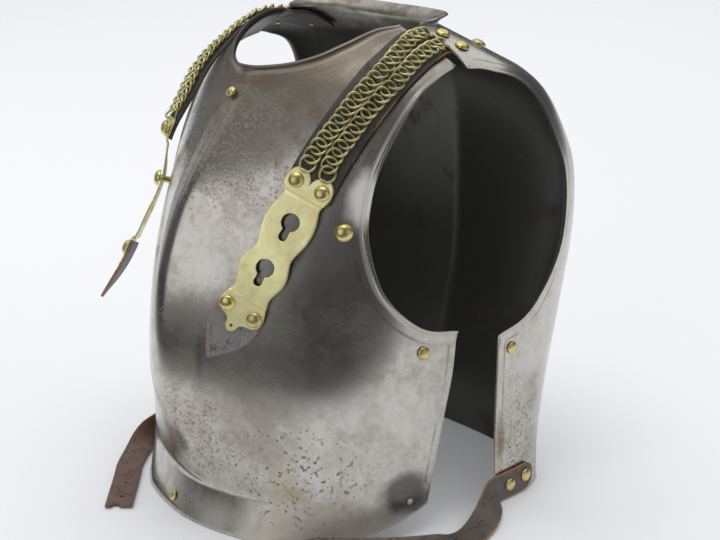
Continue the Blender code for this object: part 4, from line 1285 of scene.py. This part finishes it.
def belt_route(side):
    knots = [sided(lifted(face_place(back_point, *place), PAD_LIFT), side) for place in PAD_KNOTS]
    rest = BELT_LEFT_KNOTS if side > 0 else BELT_RIGHT_KNOTS
    knots += [(placed(*point), Vector(normal).normalized()) for point, normal in rest]
    return Route(knots)


# %% Building the belt
belts = {}
for side, label in SIDES:
    route = belt_route(side)
    for number, (distance, across) in enumerate(PAD_RIVETS, 1):
        matrix = route.seat(distance, across, LEATHER)
        depth = LEATHER + PAD_LIFT + BACK_WALL + PEEN_GAP
        add_rivet(f"rivet_belt_{label}_{number}", matrix, PAD_HEAD, LINING_SHANK, depth)
    end = route.length - (BUCKLE_REACH if side > 0 else 0)
    stations = table_stations((*PAD, (end, BELT_HALF, 0, 0)), step=2.5)
    belts[side] = strip(f"belt_{label}_leather", route, stations, LEATHER, cuts=6)
    if side < 0:
        for distance, radius in BELT_HOLES:
            hole = disc(route.length - distance, BELT_HOLES_ACROSS, radius, segments=16)
            cut(belts[side], route, hole, *BELT_CUT)
        bite = disc(route.length, BELT_BITE_ACROSS, BELT_BITE, segments=12)
        cut(belts[side], route, bite, *BELT_CUT)
    finished(belts[side])

# %% The buckle
# From the end of the left belt: distance, half_width, lift, droop
BUCKLE = (
    (-16, 8, OVER_LEATHER, 0), (-14, 10, OVER_LEATHER, 0), (2, 10, OVER_LEATHER, 0),
    (6, 18, GAP, 0), (30, 18, GAP, 0), (33, 14, GAP, 0),
)
BUCKLE_SHEET = 2.6
# Its opening runs round a tongue: distance, across
BUCKLE_OPENING = ((9, -14), (28, -14), (28, 14), (9, 14), (9, 2), (26, 2), (26, -2), (9, -2))
BUCKLE_RIVET = -8.0

route = belt_route(1)
end = route.length - BUCKLE_REACH
depth = BUCKLE_SHEET + OVER_LEATHER
matrix = route.seat(end + BUCKLE_RIVET, 0, depth)
add_rivet("rivet_buckle", matrix, LINING_HEAD, LINING_SHANK, depth)
removed(*rivet_models.values())
stations = table_stations(moved(BUCKLE, end), step=1.5)
buckle = strip("belt_buckle_brass", route, stations, BUCKLE_SHEET, cuts=8, bevel=0)
cut(buckle, route, moved(BUCKLE_OPENING, end), low=-3)
bevelled(buckle, 0.8, angle=48, segments=3)
finished(buckle)

# %% [markdown]
# ## Shader maths in plain Python
#
# A finish is a node tree. The Value class wraps the output of a node, so that ordinary arithmetic
# on it adds Math nodes, and Finish adds every other node. Patterns are read in Object coordinates,
# which for these pieces are metres from the origin.


# %% Values
class Value:
    """An output socket. Arithmetic on it adds Math nodes."""

    def __init__(self, finish, socket):
        self.finish = finish
        self.socket = socket

    def math(self, operation, first, second):
        return self.finish.node("ShaderNodeMath", {"operation": operation}, {0: first, 1: second})

    def __add__(self, other):
        return self.math("ADD", self, other)

    def __sub__(self, other):
        return self.math("SUBTRACT", self, other)

    def __rsub__(self, other):
        return self.math("SUBTRACT", other, self)

    def __mul__(self, other):
        return self.math("MULTIPLY", self, other)

    __radd__ = __add__
    __rmul__ = __mul__

    def most(self, other):
        return self.math("MAXIMUM", self, other)


# %% Finishes
class Finish:
    """A material in the making."""

    def __init__(self, name):
        self.material = bpy.data.materials.new(name)
        self.material.use_nodes = True
        self.tree = self.material.node_tree
        self.shader = self.tree.nodes["Principled BSDF"]
        self.place = self.node("ShaderNodeTexCoord", {}, {}, "Object")

    def node(self, kind, settings, inputs, output=0):
        """Adds a node: its settings first, then the values or links of its inputs."""
        node = self.tree.nodes.new(kind)
        for name, value in settings.items():
            setattr(node, name, value)
        for key, value in inputs.items():
            self.feed(node.inputs[key], value)
        return Value(self, node.outputs[output])

    def feed(self, socket, value):
        """Links a Value to a socket, or sets the socket to plain numbers."""
        if isinstance(value, Value):
            self.tree.links.new(value.socket, socket)
        else:
            socket.default_value = value

    def ramp(self, value, low, high):
        """0 below low and 1 above high, with a smooth change between."""
        settings = {"interpolation_type": "SMOOTHSTEP"}
        return self.node(
            "ShaderNodeMapRange", settings, {"Value": value, "From Min": low, "From Max": high}
        )

    def noise(self, scale, detail=4.0, roughness=0.55, distortion=0.0, place=None):
        inputs = {"Vector": place or self.place, "Scale": scale, "Detail": detail}
        inputs |= {"Roughness": roughness, "Distortion": distortion}
        return self.node("ShaderNodeTexNoise", {}, inputs)

    def cells(self, scale, feature="F1"):
        inputs = {"Vector": self.place, "Scale": scale}
        return self.node("ShaderNodeTexVoronoi", {"feature": feature}, inputs, "Distance")

    def turned(self, place=(0, 0, 0), turn=(0, 0, 0), size=(1, 1, 1)):
        """Object coordinates moved, turned and stretched for a pattern."""
        inputs = {"Vector": self.place, "Location": place, "Rotation": turn, "Scale": size}
        return self.node("ShaderNodeMapping", {"vector_type": "TEXTURE"}, inputs)

    def spot(self, place, size, turn=(0, 0, 0), soft=0.6, rough=0.35, grain=60):
        """A mask of a patch round a place, with a ragged edge. Places and sizes are in mm."""
        place = [value * MM for value in place]
        size = [value * MM for value in size]
        inside = self.turned(place, turn, size)
        settings = {"operation": "LENGTH"}
        reach = self.node("ShaderNodeVectorMath", settings, {0: inside}, "Value")
        ragged = (self.noise(grain, 5) - 0.5) * (2 * rough)
        return 1 - self.ramp(reach + ragged, 1 - soft, 1)

    def mix(self, first, second, share):
        """The second colour over the first. A colour is a Value, or red, green and blue."""
        first, second = (c if isinstance(c, Value) else (*c, 1) for c in (first, second))
        inputs = {0: share, 6: first, 7: second}
        settings = {"data_type": "RGBA", "clamp_factor": True}
        return self.node("ShaderNodeMix", settings, inputs, 2)

    def attribute(self, name):
        return self.node("ShaderNodeAttribute", {"attribute_name": name}, {}, "Fac")

    def bump(self, height, distance, strength=1.0, normal=None):
        inputs = {"Height": height, "Distance": distance * MM, "Strength": strength}
        if normal:
            inputs["Normal"] = normal
        return self.node("ShaderNodeBump", {}, inputs)

    def set(self, **inputs):
        """Sets sockets of the shader, which are named with _ for a space."""
        for name, value in inputs.items():
            self.feed(self.shader.inputs[name.replace("_", " ")], value)
        return self.material


# %% [markdown]
# ## Old steel
#
# A cuirass that has been cleaned for a century and a half is bright in its highlights and brown in
# its hollows. Its finish has a thin grey-brown patina in large clouds, fine scratches of the
# polishing cloth, streaks that ran down, and small black pits in groups where rust once ate in.
# Patina is rougher and less metallic than clean steel, so one mask drives colour and roughness.


# %% Marks of the two plates
def face_of_plate(distance, across):
    """(point, normal, along) on the left strap's route, from the top of its hook plate."""
    point, along, side, normal = routes[1].frame(starts[1] + distance)
    return point + side * across, normal, along


def breast_marks(f):
    """Masks of the breastplate's patches by name, with painted shadow, reflection and highlight
    among them.
    """
    haze = f.spot((40, -235, 430), (210, 210, 135), soft=0.75, rough=0.4)
    # The two patches low on the chest, added to the brown patina at the neck, are painted dark
    # reflection.
    haze = haze.most(f.spot((62, -300, 125), (75, 80, 75), (0, 0.5, 0), 0.9, 0.45) * 0.5)
    haze = haze.most(f.spot((-30, -340, 110), (50, 60, 55), (0, 0, 0), 0.9, 0.5) * 0.35)
    dulled = f.spot((120, -265, 8), (110, 110, 44), soft=0.8, rough=0.3)
    dulled = dulled.most(f.spot((30, -360, 14), (80, 60, 34), soft=0.8, rough=0.3) * 0.8)
    behind_plate = face_of_plate(62, -4)
    slant = frame_matrix(*behind_plate).to_euler()
    corner = flange_place(*CORNER_RIVET)[0] + Vector((-3, -3, 9))
    belly_freckles = f.spot((20, -332, 90), (58, 80, 66), soft=0.7, rough=0.5)
    neck_freckles = f.spot((20, -310, 370), (190, 170, 110), soft=0.8, rough=0.5)
    return {
        "haze": haze,
        "dulled": dulled,
        # Painted highlight: a pale, less metallic patch between the left strap and the arm hole
        # stands for a bright reflection.
        "scuffed": f.spot(chest_place(127, 303)[0], (17, 30, 36), soft=0.7, rough=0.25),
        # Painted shadow: the chest is darkened under and beside the left hook plate.
        "shadow": f.spot(behind_plate[0], (86, 21, 30), slant, 0.35, 0.1),
        "stain": f.spot(corner, (29, 29, 25), soft=0.5, rough=0.18, grain=70),
        "streak": f.spot(face_of_plate(184, 8)[0], (4, 14, 36), soft=0.9, rough=0.6) * 0.6,
        "eaten": f.spot((92, -285, 62), (82, 110, 62), soft=0.5, rough=0.5),
        "freckled": neck_freckles.most(belly_freckles),
    }


def back_marks(f):
    """Masks of the backplate's patches. It has no dulled patch and no painted highlight."""
    eaten = f.spot((176, -80, 60), (40, 34, 70), soft=0.7, rough=0.8) * 0.8
    return {
        "haze": f.spot((165, -70, 330), (60, 60, 70), soft=0.9, rough=0.6) * 0.5,
        "dulled": 0,
        "scuffed": 0,
        "shadow": f.spot((165, -60, 420), (90, 60, 30), soft=0.8, rough=0.4) * 0.5,
        "stain": f.spot((176, -62, 95), (30, 22, 30), soft=0.7, rough=0.6) * 0.3,
        "streak": f.spot((178, -100, 60), (40, 9, 40), soft=0.8, rough=0.5),
        "eaten": eaten,
        "freckled": eaten,
    }


# %% Steel
def steel_finish(name, marks_of):
    """Old polished steel, with the marks that a function gives."""
    f = Finish(name)
    marks = marks_of(f)
    clouds = f.noise(9, 6, 0.6, 0.4) * 0.32 + f.noise(42, 6, 0.62) * 0.23
    runs = f.noise(26, 5, 0.6, 0.0, f.turned(size=(1, 1, 5)))
    patina = f.ramp(clouds + runs * 0.2 + f.noise(150, 5, 0.65) * 0.25, 0.42, 0.64)
    brown = f.ramp(f.noise(28, 6, 0.65), 0.46, 0.7)
    scratches = f.noise(230, 3, 0.6, 0.0, f.turned(turn=(0, 0.5, 0.3), size=(8, 8, 0.4)))
    cross = f.noise(260, 3, 0.6, 0.0, f.turned(turn=(0.2, -0.7, 1.1), size=(0.4, 8, 8)))
    fine = scratches * 0.5 + cross * 0.5
    speckle = f.ramp(f.noise(330, 3, 0.6), 0.52, 0.63) * marks["freckled"]
    pits = (1 - f.ramp(f.cells(330), 0.12, 0.24)) * f.ramp(f.noise(15, 4, 0.6), 0.58, 0.70)
    bitten = f.ramp(f.noise(285, 2, 0.5), 0.60, 0.66) * f.ramp(f.noise(60, 3), 0.40, 0.50)
    pits = pits.most(bitten * marks["eaten"])

    edge = f.attribute("edge")
    near = 1 - f.ramp(edge, 0.5, 3.5)
    line = f.ramp(edge, 6.5, 8) * (1 - f.ramp(edge, 8.2, 10.5)) * f.ramp(f.noise(30, 4), 0.35, 0.6)

    colour = f.mix((0.58, 0.56, 0.52), (0.42, 0.39, 0.34), patina)
    # Three of these tints paint light: the dark brown one paints dark reflection low on the chest
    # as well as patina at the neck, the near-black one paints shadow by the hook plate as well as
    # stains, and the pale one is a painted highlight.
    for tint, share in (
        ((0.28, 0.225, 0.17), brown * patina * 0.3),
        ((0.195, 0.16, 0.12), marks["haze"] * 0.9),
        ((0.50, 0.45, 0.37), marks["dulled"] * 0.6),
        ((0.17, 0.12, 0.075), speckle * 0.7),
        ((0.20, 0.13, 0.08), (line * 0.6).most(marks["streak"] * 0.75)),
        ((0.085, 0.08, 0.078), marks["stain"].most(marks["shadow"] * 0.8) * 0.85),
        ((0.82, 0.80, 0.75), marks["scuffed"] * 0.8),
        ((0.105, 0.083, 0.056), pits * 0.85),
        ((0.46, 0.42, 0.36), near * 0.5),
    ):
        colour = f.mix(colour, tint, share)

    tarnish = patina.most(marks["haze"]).most(line * 0.7)
    roughness = 0.15 + tarnish * 0.12 + marks["haze"] * 0.14 + fine * 0.08 + pits * 0.25
    roughness += speckle * 0.1 + marks["dulled"] * 0.38 + marks["scuffed"] * 0.2
    rust = (pits * 0.7).most(speckle * 0.3).most(near * 0.35)
    metallic = 1 - rust.most(marks["dulled"] * 0.4).most(marks["scuffed"] * 0.6)
    dents = f.bump(f.noise(13, 2, 0.4), 1.6, 0.35)
    grain = f.bump(fine, 0.03, 0.5, dents)
    pitted = f.bump(1 - pits.most(speckle * 0.3), 0.35, 0.8, grain)
    return f.set(Base_Color=colour, Roughness=roughness, Metallic=metallic, Normal=pitted)


# %% The painted inside
def painted_inside(name):
    """The inner face of a plate: old black paint with rust coming through, worn off and painted
    light at the neck.
    """
    f = Finish(name)
    rust = f.ramp(f.noise(22, 6, 0.65, 0.5), 0.52, 0.72)
    specks = (1 - f.ramp(f.cells(210), 0.1, 0.24)) * f.ramp(f.noise(30, 4), 0.5, 0.65)
    colour = f.mix((0.095, 0.095, 0.085), (0.10, 0.065, 0.042), rust * 0.6)
    colour = f.mix(colour, (0.30, 0.15, 0.07), specks * 0.35)
    worn = f.noise(60, 5, 0.6)
    # Near the neck the inside is lighter: partly steel showing where the paint wore off, partly
    # painted light where light falls in through the neck.
    bare_and_painted_light = f.spot((0, -85, 440), (180, 82, 62), soft=0.6, rough=0.25, grain=25)
    rubbed_and_painted_light = f.mix((0.40, 0.375, 0.33), (0.24, 0.205, 0.165), f.ramp(worn, 0.4, 0.66))
    colour = f.mix(colour, rubbed_and_painted_light, bare_and_painted_light)
    bump = f.bump(worn + specks * 0.5, 0.3, 0.6)
    roughness = 0.36 + rust * 0.25 + worn * 0.1 - bare_and_painted_light * 0.08
    return f.set(Base_Color=colour, Roughness=roughness, Metallic=0.75, Normal=bump)


# %% [markdown]
# ## Old brass
#
# Cast brass is pale where hands have rubbed it and dark green-brown in the corners. Large soft
# clouds and small specks of tarnish do that, with a faint unevenness of the casting as a bump.


# %% Brass
def brass_finish(name, pale, tarnish, clouding, specks, shine=1.0, edged=False):
    """pale and tarnish are two colours; clouding and specks say how much of the second shows."""
    f = Finish(name)
    clouds = f.ramp(f.noise(55, 5, 0.6, 0.3), 0.42, 0.70) * clouding
    fine = f.noise(320, 4, 0.6)
    dots = (1 - f.ramp(f.cells(520), 0.14, 0.3)) * f.ramp(f.noise(90, 4), 0.48, 0.62) * specks
    colour = f.mix(pale, tarnish, clouds)
    if edged:
        rim = 1 - f.ramp(f.attribute("edge"), 0.3, 1.6)
        colour = f.mix(colour, tarnish, rim * 0.55)
    colour = f.mix(colour, (0.10, 0.075, 0.035), dots)
    roughness = 0.25 + clouds * 0.2 + fine * 0.12 + dots * 0.2
    dents = f.bump(f.noise(70, 2, 0.4), 0.8, 0.5)
    grain = f.bump(fine, 0.04, 0.5, dents)
    return f.set(Base_Color=colour, Roughness=roughness, Metallic=shine - dots * 0.4, Normal=grain)


# %% [markdown]
# ## Old leather
#
# The grain side of the straps has gone nearly black, with a fine net of cracks across the bends.
# The cut edges and the places where the grain has worn through show the raw orange-brown hide. The
# distance from the edge, kept in the mesh, tells the finish where the edge is.


# %% Leather
def leather_finish(name, grain_colour, raw_colour, worn_colour, wear, raw_share, tooled=0.0):
    """wear and raw_share say how much is worn or raw; tooled, how much shows of two grooves."""
    f = Finish(name)
    edge = f.attribute("edge")
    tone = f.noise(40, 5, 0.6)
    cracks = 1 - f.ramp(f.cells(210, "DISTANCE_TO_EDGE"), 0.02, 0.09)
    cracks = cracks * f.ramp(f.noise(70, 3), 0.45, 0.6)
    ragged = (f.noise(150, 4) - 0.5) * 1.8
    raw = 1 - f.ramp(edge + ragged, 0.2, 1.2)
    raw = raw * f.ramp(f.noise(26, 3), 0.62 - raw_share, 0.74 - raw_share)
    scuffs = f.ramp(f.noise(34, 7, 0.7, 0.6), 0.60 - wear, 0.74 - wear)
    groove = f.ramp(edge, 1.5, 1.8) * (1 - f.ramp(edge, 2.0, 2.4))
    groove = groove.most(f.ramp(edge, 2.7, 2.9) * (1 - f.ramp(edge, 3.1, 3.4))) * tooled
    colour = f.mix(grain_colour, [v * 1.7 for v in grain_colour], tone)
    colour = f.mix(colour, worn_colour, scuffs * 0.7)
    colour = f.mix(colour, (0.012, 0.009, 0.008), cracks * 0.6)
    colour = f.mix(colour, (0.30, 0.26, 0.23), groove * 0.5)
    colour = f.mix(colour, raw_colour, raw)
    roughness = 0.50 + scuffs * 0.25 + raw * 0.25 - tone * 0.1
    skin = f.bump(f.cells(900) * 0.3 + f.noise(260, 4) * 0.7, 0.16, 0.6)
    cracked = f.bump(1 - cracks.most(groove), 0.4, 0.8, skin)
    return f.set(Base_Color=colour, Roughness=roughness, Normal=cracked)


# %% The finishes of the cuirass
steel_breast = steel_finish("polished_steel_breast", breast_marks)
steel_back = steel_finish("polished_steel_back", back_marks)
inside = painted_inside("blackened_inside")
# name: pale and tarnished colours, clouding, specks, shine, whether the edges are tarnished
BRASSES = {
    "cast_brass": ((1.0, 0.935, 0.50), (0.70, 0.58, 0.27), 0.45, 0.35, 0.72, True),
    "rivet_brass": ((0.76, 0.645, 0.28), (0.32, 0.235, 0.08), 0.5, 0.5),
    "ring_brass": ((0.70, 0.64, 0.33), (0.30, 0.24, 0.11), 0.65, 0.3),
}
brasses = {name: brass_finish(name, *looks) for name, looks in BRASSES.items()}
# name: colours of the grain, of raw hide and of worn places, wear, share of raw edge, tooling
LEATHERS = {
    "blackened_leather": (
        (0.034, 0.028, 0.021), (0.26, 0.11, 0.05), (0.12, 0.062, 0.04), 0.03, 0.12,
    ),
    "tooled_leather": (
        (0.125, 0.118, 0.110), (0.34, 0.13, 0.055), (0.15, 0.10, 0.075), -0.03, 0.2, 1.0,
    ),
    "belt_leather_grain": (
        (0.080, 0.064, 0.055), (0.34, 0.155, 0.07), (0.26, 0.12, 0.06), 0.04, 0.3,
    ),
    "belt_leather_flesh": (
        (0.105, 0.058, 0.040), (0.16, 0.10, 0.075), (0.20, 0.11, 0.075), 0.06, 0.1,
    ),
}
leathers = {name: leather_finish(name, *looks) for name, looks in LEATHERS.items()}
belt_faces = {1: "belt_leather_grain", -1: "belt_leather_flesh"}

# %% Giving each piece its finish and its body, and hiding its node
dressed = []


def dress(piece, node, slot, *materials):
    """Gives a piece its materials and body, and hides the solid model's part that it stands for."""
    while len(piece.data.materials) < len(materials):
        piece.data.materials.append(None)
    for k, material in enumerate(materials):
        piece.data.materials[k] = material
    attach(piece, "root")
    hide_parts(node)
    dressed.append(node)


dress(breastplate, "breastplate", "steel", steel_breast, inside)
dress(backplate, "backplate", "steel", steel_back, inside)
for node, piece in {**rivets, **studs}.items():
    if "corner" in node:
        dress(piece, node, "steel", steel_back)
    else:
        dress(piece, node, "brass", brasses["rivet_brass"])
for node, piece in chains.items():
    dress(piece, node, "brass", brasses["ring_brass"])
for side, label in SIDES:
    dress(straps[side], f"strap_{label}", "strap_leather", leathers["blackened_leather"])
    dress(tips[side], f"strap_tip_{label}", "strap_leather", leathers["tooled_leather"])
    dress(hook_plates[side], f"hook_plate_{label}", "brass", brasses["cast_brass"])
    dress(belts[side], f"belt_{label}", "belt_leather", leathers[belt_faces[side]])
dress(buckle, "belt_buckle", "brass", brasses["cast_brass"])
print("dressed", len(dressed), "pieces")

# %% [markdown]
# ## Floor, light and camera
#
# A pale floor that runs on to the horizon gives an even, light ground. Polished steel shows what is
# round it, so the light comes from large soft panels, which can be seen in it as pale fields: a
# wide one overhead and behind, a small strong one over the chest, one in front, and weaker ones on
# the wearer's right and left. Between them the steel has to show something dark, as in a real room,
# so in reflections alone the floor in front and the space all round are dim.

# %% The floor
# It lies a hair below the foot, so that the two don't share a plane
FLOOR_SIZE = 16
FLOOR_GAP = 0.0006
# In reflections the floor dims this way from the origin, between these distances in metres
FRONT_WAY = (0.208, -0.978, 0)
DIM_BETWEEN = (0.56, 0.80)

nothing()
bpy.ops.mesh.primitive_plane_add(size=FLOOR_SIZE, location=(0, 0, -FLOOR_GAP))
floor = bpy.context.object
floor.name = "studio_floor"
paper = Finish("pale_paper")
inputs = {0: paper.place, 1: FRONT_WAY}
forward = paper.node("ShaderNodeVectorMath", {"operation": "DOT_PRODUCT"}, inputs, "Value")
reflected = paper.node("ShaderNodeLightPath", {}, {}, "Is Glossy Ray")
dim = paper.ramp(forward, *DIM_BETWEEN) * reflected
colour = paper.mix((0.90, 0.905, 0.915), (0.036, 0.036, 0.038), dim)
floor.data.materials.append(paper.set(Base_Color=colour, Roughness=0.9))

# %% The lights
CAMERA_AZIMUTH = radians(46.98)


def soft_panel(name, place, aim, size, radiance):
    """A rectangle of even light, as bright as a white card in full light at a radiance of 1."""
    nothing()
    bpy.ops.object.light_add(type="AREA", location=place)
    panel = bpy.context.object
    panel.name = name
    panel.data.shape = "RECTANGLE"
    panel.data.size, panel.data.size_y = size
    panel.data.energy = radiance * pi * size[0] * size[1]
    toward = Vector(aim) - Vector(place)
    panel.rotation_euler = toward.to_track_quat("-Z", "Y").to_euler()
    return panel


overhead = soft_panel("panel_overhead", (-2.1, 1.9, 3.2), (-2.1, 1.9, 0), (7, 7), 0.86)
overhead.rotation_euler = (0, 0, CAMERA_AZIMUTH)
soft_panel("panel_top", (0.35, -0.75, 2.6), (0.1, -0.4, 0), (1.6, 1.0), 2.2)
soft_panel("panel_front", (0.29, -2.15, 0.92), (0, -0.25, 0.75), (1.6, 1.7), 0.86)
soft_panel("panel_right", (-2.5, -0.9, 1.0), (0, -0.2, 0.6), (1.8, 1.8), 0.40)
soft_panel("panel_left", (2.3, -0.1, 0.95), (0, -0.1, 0.5), (1.6, 1.3), 0.55)

# %% The surroundings
# Their strength as seen by the camera and by matt surfaces, and as seen in reflections
SEEN_DIRECTLY = 0.50
SEEN_REFLECTED = 0.11

world = bpy.data.worlds.new("studio")
world.use_nodes = True
background = world.node_tree.nodes["Background"]
background.inputs["Color"].default_value = (0.92, 0.95, 1.0, 1)
ray = world.node_tree.nodes.new("ShaderNodeLightPath")
strength = world.node_tree.nodes.new("ShaderNodeMapRange")
strength.inputs["To Min"].default_value = SEEN_DIRECTLY
strength.inputs["To Max"].default_value = SEEN_REFLECTED
world.node_tree.links.new(ray.outputs["Is Glossy Ray"], strength.inputs["Value"])
world.node_tree.links.new(strength.outputs["Result"], background.inputs["Strength"])
bpy.context.scene.world = world
bpy.context.scene.view_settings.view_transform = "Standard"

# %% The camera
CAMERA_PLACE = (0.956, -1.0103, 0.612)
CAMERA_ELEVATION = radians(18)
CAMERA_LENS = 71.9

camera_data = bpy.data.cameras.new("camera")
camera_data.lens = CAMERA_LENS
camera_data.sensor_width = 36
camera = bpy.data.objects.new("camera", camera_data)
bpy.context.scene.collection.objects.link(camera)
level = Vector((-sin(CAMERA_AZIMUTH), cos(CAMERA_AZIMUTH), 0)) * cos(CAMERA_ELEVATION)
ahead = level - Vector((0, 0, sin(CAMERA_ELEVATION)))
camera.location = CAMERA_PLACE
camera.rotation_euler = ahead.to_track_quat("-Z", "Y").to_euler()
bpy.context.scene.camera = camera
